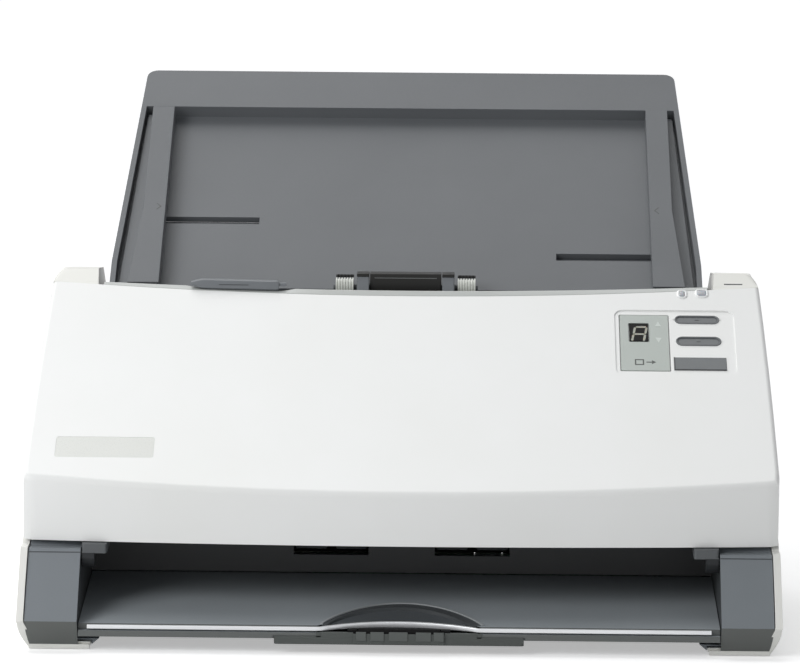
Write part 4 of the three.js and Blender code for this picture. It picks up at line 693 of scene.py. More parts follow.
def softCopy(nodeName, width):
    bm = bmesh.new()
    bm.from_mesh(nodes[nodeName].data)
    bmesh.ops.remove_doubles(bm, verts=bm.verts, dist=weld["solid"])
    bmesh.ops.dissolve_limit(bm, angle_limit=math.radians(weld["flat"]), verts=bm.verts, edges=bm.edges)
    if nodeName in reshape:
        reshape[nodeName](bm)
    piece = addPiece(nodeName + "_finished", bm, finishOf(nodeName), bodyOf[nodeName])
    shadeFaces(piece, nodeName)
    finishPiece(piece, width, 2 if width > 0.3 else 1)
    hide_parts(nodeName)
    return piece


for nodeName, width in edgeWidths.items():
    softCopy(nodeName, width)
print("soft-edged copies made:", len(edgeWidths))


# A finished piece from a mesh, and rings over a solid's top face: each an inset and a height over its level
def makePiece(name, bm, material, body, width=0.0, segments=2, angle=30):
    return finishPiece(addPiece(name, bm, material, body), width, segments, angle)


def addRings(bm, top, corner, profile, level=0.0, closed=True):
    loft(bm, [insetRing(top, inset, corner, level + rise) for inset, rise in profile], coverPlane, closed)


# Display: a dark window with one unlit figure of six bars
windowTop = topOf("display_window", coverPlane)
display = {"left": windowTop["left"] + 1.0, "top": 2.5 - windowTop["high"], "level": windowTop["level"],
           "proud": 0.06, "width": 5.1, "height": 9.6, "bar": 1.0, "gap": 0.35, "lean": 0.16}


def addDigit():
    bm = bmesh.new()
    width, height, half = display["width"], display["height"], display["bar"] / 2
    middle = height / 2
    bars = [((0, 0), (width, 0)), ((0, middle), (width, middle)), ((0, 0), (0, middle)),
            ((width, 0), (width, middle)), ((0, middle), (0, height)), ((width, middle), (width, height))]
    for bar in bars:
        start, end = Vector(bar[0]), Vector(bar[1])
        along = (end - start).normalized() * half
        aside = Vector((-along.y, along.x))
        start, end = start + along * display["gap"], end - along * display["gap"]
        outline = [start, start + along + aside, end - along + aside,
                   end, end - along - aside, start + along - aside]
        placed = [(display["left"] + point.x + display["lean"] * (height - point.y), -display["top"] - point.y)
                  for point in outline]
        prism(bm, placed, display["level"], display["level"] + display["proud"], coverPlane)
    return makePiece("display_digit", bm, unlitSegment, "front_cover")


addDigit()

# Printed marks on the display plate: two triangles and a plain sheet-and-arrow sign
marks = {"proud": 0.05, "triangle": 1.35, "tall": 1.2, "triangleX": 110.8, "upY": 25.2, "downY": 36.2,
         "signX": 104.7, "signY": 51.0, "sheetWidth": 4.0, "sheetHeight": 3.8, "line": 0.6, "corner": 0.12,
         "arrowStart": 0.4, "shaft": 2.4, "head": 1.8, "headHalf": 1.3}


def addMarks():
    low = topOf("display_plate", coverPlane)["level"]
    high = low + marks["proud"]
    bm = bmesh.new()
    size, x = marks["triangle"], marks["triangleX"]
    for y, way in ((marks["upY"], 1), (marks["downY"], -1)):
        rise = way * size * marks["tall"]
        prism(bm, [(x - size, -y - rise), (x + size, -y - rise), (x, -y + rise)], low, high, coverPlane)
    makePiece("arrow_marks", bm, paleInk, "front_cover")
    bm = bmesh.new()
    line, width, height = marks["line"], marks["sheetWidth"], marks["sheetHeight"]
    left, top = marks["signX"] - width - line, -marks["signY"] + height / 2
    right, bottom = left + width, top - height
    lower, upper = bottom + line, top - line
    for sheetEdge in ((left, right, upper, top), (left, right, bottom, lower),
                      (left, left + line, lower, upper), (right - line, right, lower, upper)):
        prism(bm, roundedOutline(*sheetEdge, marks["corner"], 2), low, high, coverPlane)
    start = marks["signX"] + marks["arrowStart"]
    neck, middle, half, wide = start + marks["shaft"], top - height / 2, line / 2, marks["headHalf"]
    arrow = [(start, middle - half), (neck, middle - half), (neck, middle - wide),
             (neck + marks["head"], middle), (neck, middle + wide), (neck, middle + half), (start, middle + half)]
    prism(bm, arrow, low, high, coverPlane)
    makePiece("scan_sign", bm, printInk, "front_cover")


addMarks()

# Keys: a raised rim round a shallow dish, a fine groove inside it, and a short dark dash in the middle
keyCap = {"rim": [(0.22, -0.15), (0.22, 0.21), (0.37, 0.42), (0.75, 0.42), (1.05, 0.126), (1.05, -0.15)],
          "groove": [(1.05, -0.15), (1.05, 0.03), (1.39, 0.03), (1.39, -0.15)],
          "dash": 0.9, "thick": 0.22, "dashCorner": 0.12, "dashLow": -0.02, "dashHigh": 0.05}
keyCorners = {"up_key": 2.9, "down_key": 3.1}


def addKeyRing(keyName, corner):
    top = topOf(keyName, coverPlane)
    bm = bmesh.new()
    addRings(bm, top, corner, keyCap["rim"], top["level"])
    makePiece(keyName + "_rim", bm, finishes["key_plastic"], keyName)
    bm = bmesh.new()
    addRings(bm, top, corner, keyCap["groove"], top["level"])
    x, y = (top["left"] + top["right"]) / 2, (top["low"] + top["high"]) / 2
    dash, thick = keyCap["dash"], keyCap["thick"]
    prism(bm, roundedOutline(x - dash, x + dash, y - thick, y + thick, keyCap["dashCorner"], 3),
          top["level"] + keyCap["dashLow"], top["level"] + keyCap["dashHigh"], coverPlane)
    makePiece(keyName + "_groove", bm, rimPlastic, keyName)


for keyName, corner in keyCorners.items():
    addKeyRing(keyName, corner)

# The rectangular key: a low cap with two shaded edges
scanCap = {"corner": 0.5, "cap": [(0.24, -0.2), (0.24, 0.25), (0.45, 0.42)], "inset": 0.22, "side": 0.55,
           "cutSide": 0.1, "cutTop": 0.2, "low": -0.2, "high": 0.45}


def addScanKeyCap():
    top = topOf("scan_key", coverPlane)
    level, inset, side = top["level"], scanCap["inset"], scanCap["side"]
    bm = bmesh.new()
    addRings(bm, top, scanCap["corner"], scanCap["cap"], level, False)
    makePiece("scan_key_cap", bm, finishes["key_plastic"], "scan_key")
    bm = bmesh.new()
    left, right, low, high = top["left"] + inset, top["right"] - inset, top["low"] + inset, top["high"] - inset
    outline = [(left, high), (left, low), (right, low), (right - scanCap["cutSide"], low + side),
               (left + side, low + side), (left + side, high - scanCap["cutTop"])]
    prism(bm, outline, level + scanCap["low"], level + scanCap["high"], coverPlane)
    makePiece("scan_key_shaded_edge", bm, shadeKey, "scan_key")


addScanKeyCap()

# White frames lie over the gaps round the keys
frameCap = {"corners": {"up_key": 3.4, "down_key": 3.4, "scan_key": 0.7},
            "profile": [(0.2, -0.56), (0.2, -0.47), (-0.5, -0.47), (-1.0, -0.5), (-1.0, -0.86),
                        (-0.25, -0.86), (-0.25, -0.56)]}
for nodeName, corner in frameCap["corners"].items():
    bm = bmesh.new()
    addRings(bm, topOf(nodeName, coverPlane), corner, frameCap["profile"])
    makePiece(nodeName + "_frame", bm, finishes["white_plastic"], "front_cover")

# Status lights: domed lenses in raised white collars
statusLight = {"corner": 0.9, "lens": [(0, -0.4), (0, 0.1), (0.25, 0.24), (0.7, 0.3)],
               "collar": [(0, -0.3), (0, 0.12), (-0.35, 0.35), (-0.7, 0.245), (-1.0, 0.02), (-1.0, -0.3)]}
for nodeName in ("narrow_status_light", "wide_status_light"):
    top = topOf(nodeName, coverPlane)
    level = max(top["level"], 0.0)
    bm = bmesh.new()
    addRings(bm, top, statusLight["corner"], statusLight["lens"], level, False)
    makePiece(nodeName + "_lens", bm, finishes["light_pipe"], "front_cover")
    bm = bmesh.new()
    addRings(bm, top, statusLight["corner"], statusLight["collar"], level)
    makePiece(nodeName + "_collar", bm, collarPlastic, "front_cover")

# Badge: a bare plate in its shallow field
badge = {"left": -146.48, "right": -104.72, "top": -103.62, "bottom": -116.58, "low": -0.75, "high": -0.06,
         "corner": 0.98}
bm = bmesh.new()
prism(bm, roundedOutline(badge["left"], badge["right"], badge["bottom"], badge["top"], badge["corner"]),
      badge["low"], badge["high"], coverPlane)
makePiece("bare_badge_plate", bm, badgePlastic, "front_cover", 0.05)
print("cover details made")

# An outline in y and z, drawn out along x
alongX = Matrix(((0, 0, 1, 0), (1, 0, 0, 0), (0, 1, 0, 0), (0, 0, 0, 1)))
asDrawn = Matrix.Identity(4)


# Plain bars along x: one between its left and right end, or one on each side between inner and outer
def barSection(bar):
    front, rear, low, high = bar["front"], bar["rear"], bar["low"], bar["high"]
    return [(front, low), (front, high), (rear, high), (rear, low)]


def addBothSides(bm, section, inner, outer):
    for side in (-1, 1):
        start, end = sorted((side * inner, side * outer))
        prism(bm, section, start, end, alongX)


def addBar(bm, bar):
    section = bar["section"] if "section" in bar else barSection(bar)
    if "inner" in bar:
        addBothSides(bm, section, bar["inner"], bar["outer"])
    else:
        prism(bm, section, bar["left"], bar["right"], alongX)


def makeBars(name, bars, material, body, width=0.0, segments=2):
    bm = bmesh.new()
    for bar in bars:
        addBar(bm, bar)
    return makePiece(name, bm, material, body, width, segments)


# Slim lip along the cover's rear edge, with a lower step where the lever stands
slotLip = {"reach": 133.4, "step": 6, "back": 0.3, "rise": 0.9, "swell": 1.1, "depth": 3.0, "limit": -2.9,
           "low": 1.6, "edge": 0.1, "crest": (0.75, 0.95), "leverLeft": -95.5, "leverRight": -51.5,
           "leverRise": 0.7}


def addSlotLip():
    reach, low = slotLip["reach"], slotLip["low"]
    count = int(2 * reach / slotLip["step"])
    across, up = slotLip["crest"]
    rings = []
    for i in range(count + 1):
        x = -reach + 2 * reach * i / count
        y, z = rearEdge(x)
        y += slotLip["back"]
        rise = slotLip["rise"] + slotLip["swell"] * (1 - (x / reach) ** 2)
        if slotLip["leverLeft"] < x < slotLip["leverRight"]:
            rise = slotLip["leverRise"]
        depth = min(slotLip["depth"], slotLip["limit"] - y)
        rings.append([(x, y, z - low), (x, y, z + slotLip["edge"]), (x, y + depth * across, z + rise * up),
                      (x, y + depth, z + rise), (x, y + depth, z - low)])
    bm = bmesh.new()
    loft(bm, rings, asDrawn)
    return makePiece("slot_lip", bm, finishes["strip_plastic"], "front_cover", 0.15, 1)


addSlotLip()

# Cover skin over the hollow in front of the lever
leverField = {"left": -95.0, "right": -52.0, "front": -11.2, "low": -1.4, "high": 0.02, "steps": 8}


def addLeverField():
    left, right, steps = leverField["left"], leverField["right"], leverField["steps"]
    behind = []
    for i in range(steps + 1):
        x = left + (right - left) * i / steps
        behind.append((x, (rearEdge(x)[0] - shellHigh.y / millimetre) / math.cos(slope)))
    outline = [(left, leverField["front"]), (right, leverField["front"])] + behind[::-1]
    bm = bmesh.new()
    prism(bm, outline, leverField["low"], leverField["high"], coverPlane)
    return makePiece("lever_field", bm, finishes["white_plastic"], "front_cover")


addLeverField()

# Release lever: a bar with a pointed left end and a ridge on top, its neck and foot, and a fine dark line
leverBar = {"left": -94.8, "right": -55.8, "front": -8.35, "rear": -4.4, "high": 139.8, "tall": 4.1, "drop": 0.7,
            "taper": 0.45, "chamfer": 0.5, "bulge": 0.15, "ridge": 1.2, "ridgeLow": 0.35,
            "sizes": [(0, 0.25), (0.05, 0.62), (0.11, 0.93), (0.16, 1), (0.4, 1), (0.7, 1), (0.96, 1),
                      (0.985, 0.93), (1, 0.75)]}
leverNeck = {"left": -56.0, "right": -52.6,
             "section": [(-7.4, 136.9), (-5.2, 136.9), (-5.2, 138.2), (-7.0, 138.2)]}
leverFoot = {"left": -82.8, "right": -65.8, "front": -6.3, "rear": -5.0, "low": 132.3, "high": 136.1}
leverLine = {"left": -82.3, "right": -69.3, "front": -8.37, "rear": -8.05, "low": 137.28, "high": 137.52}


def addLever():
    leverBody, chamfer, rear = bodyOf["release_lever"], leverBar["chamfer"], leverBar["rear"]
    rings = []
    for share, size in leverBar["sizes"]:
        x = leverBar["left"] + (leverBar["right"] - leverBar["left"]) * share
        high = leverBar["high"] - leverBar["drop"] * share - leverBar["tall"] * leverBar["taper"] * (1 - size)
        low = high - leverBar["tall"] * size
        front = leverBar["front"] + chamfer * (1 - size)
        rings.append([(x, front + chamfer, low), (x, front, low + chamfer * size),
                      (x, front + leverBar["bulge"], (low + high) / 2),
                      (x, front + chamfer, high - leverBar["ridgeLow"] * size),
                      (x, front + leverBar["ridge"], high), (x, rear, high), (x, rear, low)])
    bm = bmesh.new()
    loft(bm, rings, asDrawn)
    piece = makePiece("release_lever_bar", bm, finishes["lever_plastic"], leverBody, 0.15, 2)
    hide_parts("release_lever")
    makeBars("release_lever_neck", [leverNeck, leverFoot], finishes["lever_plastic"], leverBody,
             0.2)
    makeBars("release_lever_line", [leverLine], sideShade, leverBody)


addLever()
print("slot edge and lever made")

# Pad unit: face plates on the cheeks, a bar over each of them and a ridge on the holder
cheekPlate = {"inner": 16.3, "outer": 21.3,
              "section": [(-7.35, 132.5), (-1.3, 140.6), (-1.0, 140.6), (-7.05, 132.5)]}
cheekBar = {"inner": 16.15, "outer": 21.6, "front": -1.4, "rear": 7.0, "low": 140.6, "high": 142.0}
holderRidge = {"left": -13.8, "right": 13.8,
               "section": [(-1.65, 140.0), (-1.45, 140.35), (-1.1, 140.35), (-1.1, 140.0)]}
makeBars("pad_cheek_plates", [cheekPlate], cheekPlastic, "front_cover", 0.08, 1)
makeBars("pad_cheek_bars", [cheekBar], finishes["black_plastic"], "front_cover", 0.15, 1)
makeBars("pad_holder_ridge", [holderRidge], barPlastic, bodyOf["pad_holder"], 0.05, 1)

# Ribbed wheels: discs in a row on a core, and a dark comb behind each that keeps them clean
ribbedWheel = {"y": 2.01, "z": 135.5, "inner": 23.05, "outer": 30.95, "core": 3.7, "discs": 7, "disc": 0.62,
               "edge": [(0, 4.13), (0.12, 4.28), (0.5, 4.28), (0.62, 4.13)]}
wheelComb = {"front": 6.6, "rear": 7.1, "low": 139.2, "high": 140.6}
combTooth = {"front": 5.4, "rear": 6.7, "low": 139.4, "high": 140.5, "count": 6, "width": 0.7}


def discOutline(radius, steps=40):
    turns = [2 * math.pi * i / steps for i in range(steps)]
    return [(radius * math.cos(turn), radius * math.sin(turn)) for turn in turns]


# A disc turned from radii at several levels
def addTurned(bm, profile, steps, place, start=0.0):
    loft(bm, [[(x, y, start + level) for x, y in discOutline(radius, steps)] for level, radius in profile],
         place)


def addWheel(side, nodeName):
    start, end = sorted((side * ribbedWheel["inner"], side * ribbedWheel["outer"]))
    hub = Matrix.Translation((0, ribbedWheel["y"] * millimetre, ribbedWheel["z"] * millimetre)) @ alongX
    bm = bmesh.new()
    prism(bm, discOutline(ribbedWheel["core"]), start, end, hub)
    core = makePiece(nodeName + "_core", bm, ribbedWhite, bodyOf[nodeName])
    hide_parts(nodeName)
    bm = bmesh.new()
    addTurned(bm, ribbedWheel["edge"], 40, hub, start)
    discs = addPiece(nodeName + "_discs", bm, ribbedWhite, bodyOf[nodeName])
    step = (end - start - ribbedWheel["disc"]) / (ribbedWheel["discs"] - 1)
    runTree(discs, rowTree, Count=ribbedWheel["discs"], Step=(step * millimetre, 0, 0))
    finishPiece(discs)
    bm = bmesh.new()
    prism(bm, barSection(wheelComb), start, end, alongX)
    makePiece(nodeName + "_comb", bm, shadeBlack, "front_cover")
    bm = bmesh.new()
    prism(bm, barSection(combTooth), start, start + combTooth["width"], alongX)
    teeth = addPiece(nodeName + "_comb_teeth", bm, shadeBlack, "front_cover")
    pitch = (end - start - combTooth["width"]) / (combTooth["count"] - 1)
    runTree(teeth, rowTree, Count=combTooth["count"], Step=(pitch * millimetre, 0, 0))
    finishPiece(teeth)


addWheel(-1, "left_ribbed_wheel")
addWheel(1, "right_ribbed_wheel")
print("pad unit made")

# Trim: a bright bar swept along the front edge, back and up round the thumb notch
trimBar = {"half": 129.9, "middle": 80, "y": -137.25, "z": 10.5, "notchHalf": 33, "notchDepth": 9.6,
           "notchRise": 0.1, "beside": 0.5, "steps": 16, "width": 1.5, "height": 1.7, "soft": 0.35,
           "swell": 0.55}


def notchShare(x):
    return max(0.0, 1 - (x / trimBar["notchHalf"]) ** 2)


def addTrimBar():
    notch, steps = trimBar["notchHalf"], trimBar["steps"]
    beyond = [notch + trimBar["beside"], trimBar["middle"], trimBar["half"]]
    xs = [-x for x in reversed(beyond)] + [notch * (i - steps) / steps for i in range(2 * steps + 1)] + beyond
    shares = [notchShare(x) for x in xs]
    points = [(x, trimBar["y"] + trimBar["notchDepth"] * share, trimBar["z"] + trimBar["notchRise"] * share)
              for x, share in zip(xs, shares)]
    swells = [1 + trimBar["swell"] * share for share in shares]
    trimPiece = addPath("output_trim_bar", points, finishes["trim_metal"], bodyOf["output_trim"],
                        swells)
    sweepPath(trimPiece, trimBar["width"], trimBar["height"], trimBar["soft"])
    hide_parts("output_trim")


addTrimBar()

# Scoop: a light rim on the floor round the thumb scoop, a painted highlight, and a dark border inside it, painted
# shade
scoopRim = {"middle": 1.2, "half": 33.6, "y": -134.6, "depth": 27.7, "power": 0.85, "border": 7.0,
            "innerMiddle": -0.15, "innerHalf": 29.6, "steps": 48, "frontY": -138.0, "frontZ": 11.4,
            "slope": 0.1204, "proud": 0.1, "thick": 0.3, "wide": 1.2, "high": 0.9, "soft": 0.1,
            "chamfer": 2.0, "fall": 1.5, "least": 0.3}


def scoopPoint(x, middle, half, depth):
    share = max(0.0, 1 - ((x - middle) / half) ** 2)
    y = scoopRim["y"] + depth * share ** scoopRim["power"]
    return (x, y, scoopRim["frontZ"] + (y - scoopRim["frontY"]) * scoopRim["slope"] + scoopRim["proud"])


def addScoopRim():
    turns = [math.pi * i / scoopRim["steps"] for i in range(scoopRim["steps"] + 1)]
    xs = [scoopRim["middle"] - scoopRim["half"] * math.cos(turn) for turn in turns]
    outer = [scoopPoint(x, scoopRim["middle"], scoopRim["half"], scoopRim["depth"]) for x in xs]
    rim = addPath("scoop_rim_highlight", outer, scoopLight, bodyOf["output_floor"])
    sweepPath(rim, scoopRim["wide"], scoopRim["high"], scoopRim["soft"])
    middle, half, depth = scoopRim["innerMiddle"], scoopRim["innerHalf"], scoopRim["depth"] - scoopRim["border"]
    rings = []
    for x, far in zip(xs[1:-1], outer[1:-1]):
        fold = scoopPoint(x, middle, half, depth + scoopRim["chamfer"])
        near = scoopPoint(x, middle, half, depth)
        near = (x, min(near[1], fold[1] - scoopRim["least"]), near[2] - scoopRim["fall"])
        under = [(x, point[1], point[2] - scoopRim["thick"]) for point in (near, far)]
        rings.append([far, fold, near] + under)
    bm = bmesh.new()
    loft(bm, rings, asDrawn)
    makePiece("scoop_border_shade", bm, scoopShade, bodyOf["output_floor"])


addScoopRim()

# Notch: a dark wall behind the stop, painted shade under the trim's arc
notchWall = {"left": -26, "right": 26, "front": -125.9, "rear": -125.3, "low": 7.3, "high": 10.6}
makeBars("notch_wall", [notchWall], shadeBlack, bodyOf["output_floor"])

# Drawer: five fingers on a plate in front of the stop, and a bar with two low laps on each side of them
fingerSpans = [(-17.8, -13.6), (-11.8, -6.2), (-4.1, 3.7), (7.1, 13.4), (14.5, 18.7)]
fingers = [{"left": left, "right": right, "front": -139.35, "rear": -138.85, "low": 5.9, "high": 9.7}
           for left, right in fingerSpans]
fingerPlate = {"left": -19.0, "right": 19.0,
               "section": [(-138.95, 4.5), (-138.95, 8.9), (-138.8, 8.9), (-138.37, 7.1), (-138.37, 4.5)]}
drawerBar = {"inner": 19.0, "outer": 32.6,
             "section": [(-138.35, 7.1), (-138.35, 9.0), (-138.05, 9.3), (-137.2, 9.3), (-137.2, 7.1)]}
drawerLaps = [{"inner": 32.5, "outer": 34.4, "front": -138.35, "rear": -138.06, "low": 7.1, "high": 9.3},
              {"inner": 32.5, "outer": 51.9, "front": -138.35, "rear": -138.06, "low": 7.1, "high": 7.7}]
makeBars("stop_fingers", fingers, fingerPlastic, bodyOf["output_drawer"], 0.12, 1)
makeBars("stop_finger_plate", [fingerPlate], drawerPlastic, bodyOf["output_drawer"], 0.1, 1)
makeBars("drawer_front_bars", [drawerBar] + drawerLaps, drawerPlastic, bodyOf["output_drawer"])

# Dark shields behind the exit slots, so that no light comes through; their near-black is painted shade for the
# dark slots
exitShield = {"inner": 11.0, "outer": 50.0, "front": -47.6, "rear": -47.1, "low": 26.0, "high": 49.0}
makeBars("exit_shields", [exitShield], pitShadeBlack, "base")
print("front edge made")

# Ears: one smooth cap over each shoulder and a slit in the right one
ear = {"inner": 135.25, "crest": 5.6, "rear": 28.6, "level": 142.3, "fall": 2.2, "fallFrom": 8,
       "shoulder": 5.0, "drop": 5.6, "side": 155.95, "sideY": -3.4, "taper": 0.0667, "gap": 0.12,
       "thickSide": 0.06, "thickDown": 0.6,
       "steps": (0, 0.08, 0.25, 0.5, 0.75, 0.92, 1, 1.1, 1.35, 1.8, 2.4, 3.0, 3.55),
       "shares": (0, 0.03, 0.2, 0.4, 0.6, 0.7), "lastShare": 0.27, "crowd": 1.6, "lastSteps": 9}


def earPoint(share, step):
    frontX = ear["inner"] + (ear["side"] - ear["inner"]) * share
    frontY, frontZ = rearEdge(frontX)
    frontY += ear["gap"]
    if step <= 1:
        y = frontY + (ear["crest"] - frontY) * step
    else:
        y = ear["crest"] + (ear["rear"] - ear["crest"]) * (step - 1) / (ear["steps"][-1] - 1)
    fall = ear["fall"] * max(0.0, (y - ear["fallFrom"]) / (ear["rear"] - ear["fallFrom"]))
    rise = frontZ + (ear["level"] - frontZ) * min(1, step) - fall
    outer = ear["side"] - (y - ear["sideY"]) * ear["taper"]
    x = ear["inner"] + leanIn(rise) + (outer - ear["inner"] - leanIn(rise)) * share
    turn = min(1.0, max(0.0, (x - outer + ear["shoulder"]) / ear["shoulder"]))
    curved = ear["level"] - ear["drop"] * (1 - math.sqrt(1 - turn ** 2)) - fall
    return x, y, min(rise, curved)


def addEarCap(side, name):
    last = ear["lastSteps"]
    shares = list(ear["shares"])
    shares += [1 - ear["lastShare"] * (1 - i / last) ** ear["crowd"] for i in range(last + 1)]
    rings = []
    for step in ear["steps"]:
        points = [earPoint(share, step) for share in shares]
        top = [(side * x, y, z) for x, y, z in points]
        under = [(side * (x - ear["thickSide"]), y, z - ear["thickDown"]) for x, y, z in reversed(points)]
        rings.append(top + under)
    bm = bmesh.new()
    loft(bm, rings, asDrawn)
    makePiece(name, bm, bodyPlastic, bodyOf["rear_cover"], angle=40)


earSlit = {"left": 140.8, "right": 148.9, "x": 144.8, "step": 0.3, "half": 0.035, "lift": (-0.03, 0.03),
           "sink": (0.1, -0.3)}


def addEarSlit():
    share = (earSlit["x"] - ear["inner"]) / (ear["side"] - ear["inner"])
    low, high = (Vector(earPoint(share, earSlit["step"] + way * earSlit["half"])[1:]) for way in (-1, 1))
    lift, sink = Vector(earSlit["lift"]), Vector(earSlit["sink"])
    bm = bmesh.new()
    prism(bm, [low + lift, high + lift, high + sink, low + sink], earSlit["left"], earSlit["right"], alongX)
    makePiece("right_ear_slit", bm, sideShade, bodyOf["rear_cover"])


addEarCap(-1, "left_ear_cap")
addEarCap(1, "right_ear_cap")
addEarSlit()
print("ears made")

# Caps of the pillars: a thin dark strip, painted shade, where the slanted face turns over
capLine = {"inner": 134.1, "outer": 155.6, "y": -119.94, "z": 39.07, "along": (0.614, 0.789), "start": -0.9,
           "end": -0.45, "proud": 0.04, "sunk": -0.3}


def addCapShadeLines():
    corner, along = Vector((capLine["y"], capLine["z"])), Vector(capLine["along"])
    outward = Vector((-along.y, along.x))
    start, end, proud, sunk = capLine["start"], capLine["end"], capLine["proud"], capLine["sunk"]
    spots = [(start, proud), (end, proud), (end, sunk), (start, sunk)]
    section = [corner + along * far + outward * out for far, out in spots]
    bm = bmesh.new()
    addBothSides(bm, section, capLine["inner"], capLine["outer"])
    makePiece("pillar_cap_shade_lines", bm, sideShade, "base")


addCapShadeLines()

# Feet of the sides: the dark front runs further down over them, with a bright lip under it
footLip = {"inner": 129.2, "outer": 154.6,
           "section": [(-134.8, 0.35), (-134.9, 2.3), (-132.6, 2.3), (-132.6, 0.35)]}
sideFoot = {"foldY": -140.3, "foldZ": 13.0, "lowY": -134.8, "lowZ": 2.35, "thick": 1.4, "drop": 0.1,
            "edgeRear": -132.4, "edgeProud": 0.12, "edgeCorner": 0.3}
frontStations = [(134.03, 2.35), (154.3, 2.35), (155.1, 4.2), (155.85, 8.0)]
edgeStations = [(13.4, 156.2, 159.15), (10.0, 155.7, 158.9), (7.0, 155.3, 158.1), (4.4, 154.8, 156.9),
                (2.2, 154.2, 155.6), (0.8, 153.8, 154.7)]


def footFace(level):
    lean = (sideFoot["lowY"] - sideFoot["foldY"]) / (sideFoot["foldZ"] - sideFoot["lowZ"])
    return sideFoot["foldY"] + (sideFoot["foldZ"] - level) * lean


def frontRing(side, x, low):
    foldY, foldZ, lowY, thick = sideFoot["foldY"], sideFoot["foldZ"], footFace(low), sideFoot["thick"]
    return [(side * x, foldY, foldZ), (side * x, lowY, low), (side * x, lowY + thick, low),
            (side * x, foldY + thick, foldZ - sideFoot["drop"])]


def edgeRing(side, level, inner, outer):
    y, rear, corner = footFace(level) - sideFoot["edgeProud"], sideFoot["edgeRear"], sideFoot["edgeCorner"]
    return [(side * inner, y, level), (side * (outer - corner), y, level), (side * outer, y + corner, level),
            (side * outer, rear, level), (side * inner, rear, level)]


def addFootSkin(name, makeRing, stations, material):
    bm = bmesh.new()
    for side in (-1, 1):
        loft(bm, [makeRing(side, *station) for station in stations], asDrawn)
    makePiece(name, bm, material, "base")


makeBars("side_foot_lips", [footLip], sidePlastic, "base", 0.2, 2)
addFootSkin("side_foot_fronts", frontRing, frontStations, footPlastic)
addFootSkin("side_foot_edges", edgeRing, edgeStations, sidePlastic)
print("side feet made")

# Underside screws, in two rows of three
screw = {"head": [(1.42, 2.1), (1.1, 2.6), (0.8, 2.6), (0.6, 2.25)], "cross": 1.5, "crossHalf": 0.28,
         "crossCorner": 0.1, "crossLow": 0.55, "crossHigh": (0.62, 0.63), "x": 92,
         "rows": {"front": -96, "rear": 8}, "count": 3}


def addScrews(row, y):
    bm = bmesh.new()
    place = Matrix.Translation((-screw["x"] * millimetre, y * millimetre, 0))
    long, half, corner, low = screw["cross"], screw["crossHalf"], screw["crossCorner"], screw["crossLow"]
    addTurned(bm, screw["head"], 24, place)
    prism(bm, roundedOutline(-long, long, -half, half, corner, 2), low, screw["crossHigh"][0], place)
    prism(bm, roundedOutline(-half, half, -long, long, corner, 2), low, screw["crossHigh"][1], place)
    piece = addPiece(row + "_screws", bm, screwSteel, "base")
    runTree(piece, rowTree, Count=screw["count"], Step=(screw["x"] * millimetre, 0, 0))
    finishPiece(piece)


for row, y in screw["rows"].items():
    addScrews(row, y)

# Sockets at the back: contacts inside the data socket and a pin in the power inlet
blade = {"count": 4, "width": 0.66, "long": 6.0, "behind": 1.0, "low": -0.15, "high": 0.25, "first": 0.3,
         "pitch": 0.12}
powerPin = [(-8.0, 0.9), (-1.4, 0.9), (-1.0, 0.54)]


def addSocketParts():
    low, high = (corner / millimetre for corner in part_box("usb_socket"))
    middle, span, tip = (low.z + high.z) / 2, high.x - low.x, high.y - blade["behind"]
    first = low.x + span * blade["first"]
    bm = bmesh.new()
    addBar(bm, {"left": first, "right": first + blade["width"], "front": tip - blade["long"], "rear": tip,
                "low": middle + blade["low"], "high": middle + blade["high"]})
    blades = addPiece("usb_contacts", bm, contactGold, "base")
    runTree(blades, rowTree, Count=blade["count"], Step=(span * blade["pitch"] * millimetre, 0, 0))
    finishPiece(blades)
    low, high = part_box("power_socket")
    middle = (low + high) / 2
    backward = Matrix(((1, 0, 0, middle.x), (0, 0, 1, high.y), (0, 1, 0, middle.z), (0, 0, 0, 1)))
    bm = bmesh.new()
    addTurned(bm, powerPin, 20, backward)
    makePiece("power_pin", bm, screwSteel, "base")


addSocketParts()

# Rollers: fine ribs all round their rubber, in one row on each side of the middle
tyreRib = {"counts": {"pick_tyre": 60, "feed_tyre": 48, "exit_tyre_left": 40, "exit_tyre_right": 40},
           "end": 0.6, "middle": 2.4, "root": (0.2, -0.4), "tip": (0.13, 0.12)}


def addTyreRibs(nodeName, count):
    low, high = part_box(nodeName)
    radius, half = (high.z - low.z) / 2 / millimetre, (high.x - low.x) / 2 / millimetre
    (rootHalf, root), (tipHalf, tip) = tyreRib["root"], tyreRib["tip"]
    section = [(-rootHalf, radius + root), (rootHalf, radius + root),
               (tipHalf, radius + tip), (-tipHalf, radius + tip)]
    bm = bmesh.new()
    addBothSides(bm, section, tyreRib["middle"], half - tyreRib["end"])
    piece = addPiece(nodeName + "_ribs", bm, finishes["tyre_rubber"], bodyOf[nodeName])
    runTree(piece, ringTree, Count=count, Centre=tuple((low + high) / 2))
    finishPiece(piece)


for tyreName, count in tyreRib["counts"].items():
    addTyreRibs(tyreName, count)
print("screws and roller ribs made")

# Chevrons on the side guides
chevron = {"x": 112.4, "up": 46.0, "reach": 1.9, "half": 2.2, "line": 0.45, "point": 1.5, "low": 8.0,
           "high": 8.06}


def chevronOutline(tip, way):
    reach, half, up = chevron["reach"], chevron["half"], chevron["up"]
    far, point = reach + chevron["line"], chevron["line"] * chevron["point"]
    spots = [(0, 0), (reach, half), (far, half), (point, 0), (far, -half), (reach, -half)]
    return [(tip - way * back, up + rise) for back, rise in spots]


for side, guideName in ((-1, "left_side_guide"), (1, "right_side_guide")):
    bm = bmesh.new()
    outline = chevronOutline(side * (chevron["x"] - chevron["reach"] / 2), -side)
    prism(bm, outline, chevron["low"], chevron["high"], chutePlane)
    makePiece(guideName + "_chevron", bm, printInk, bodyOf[guideName])
print("chute details made")

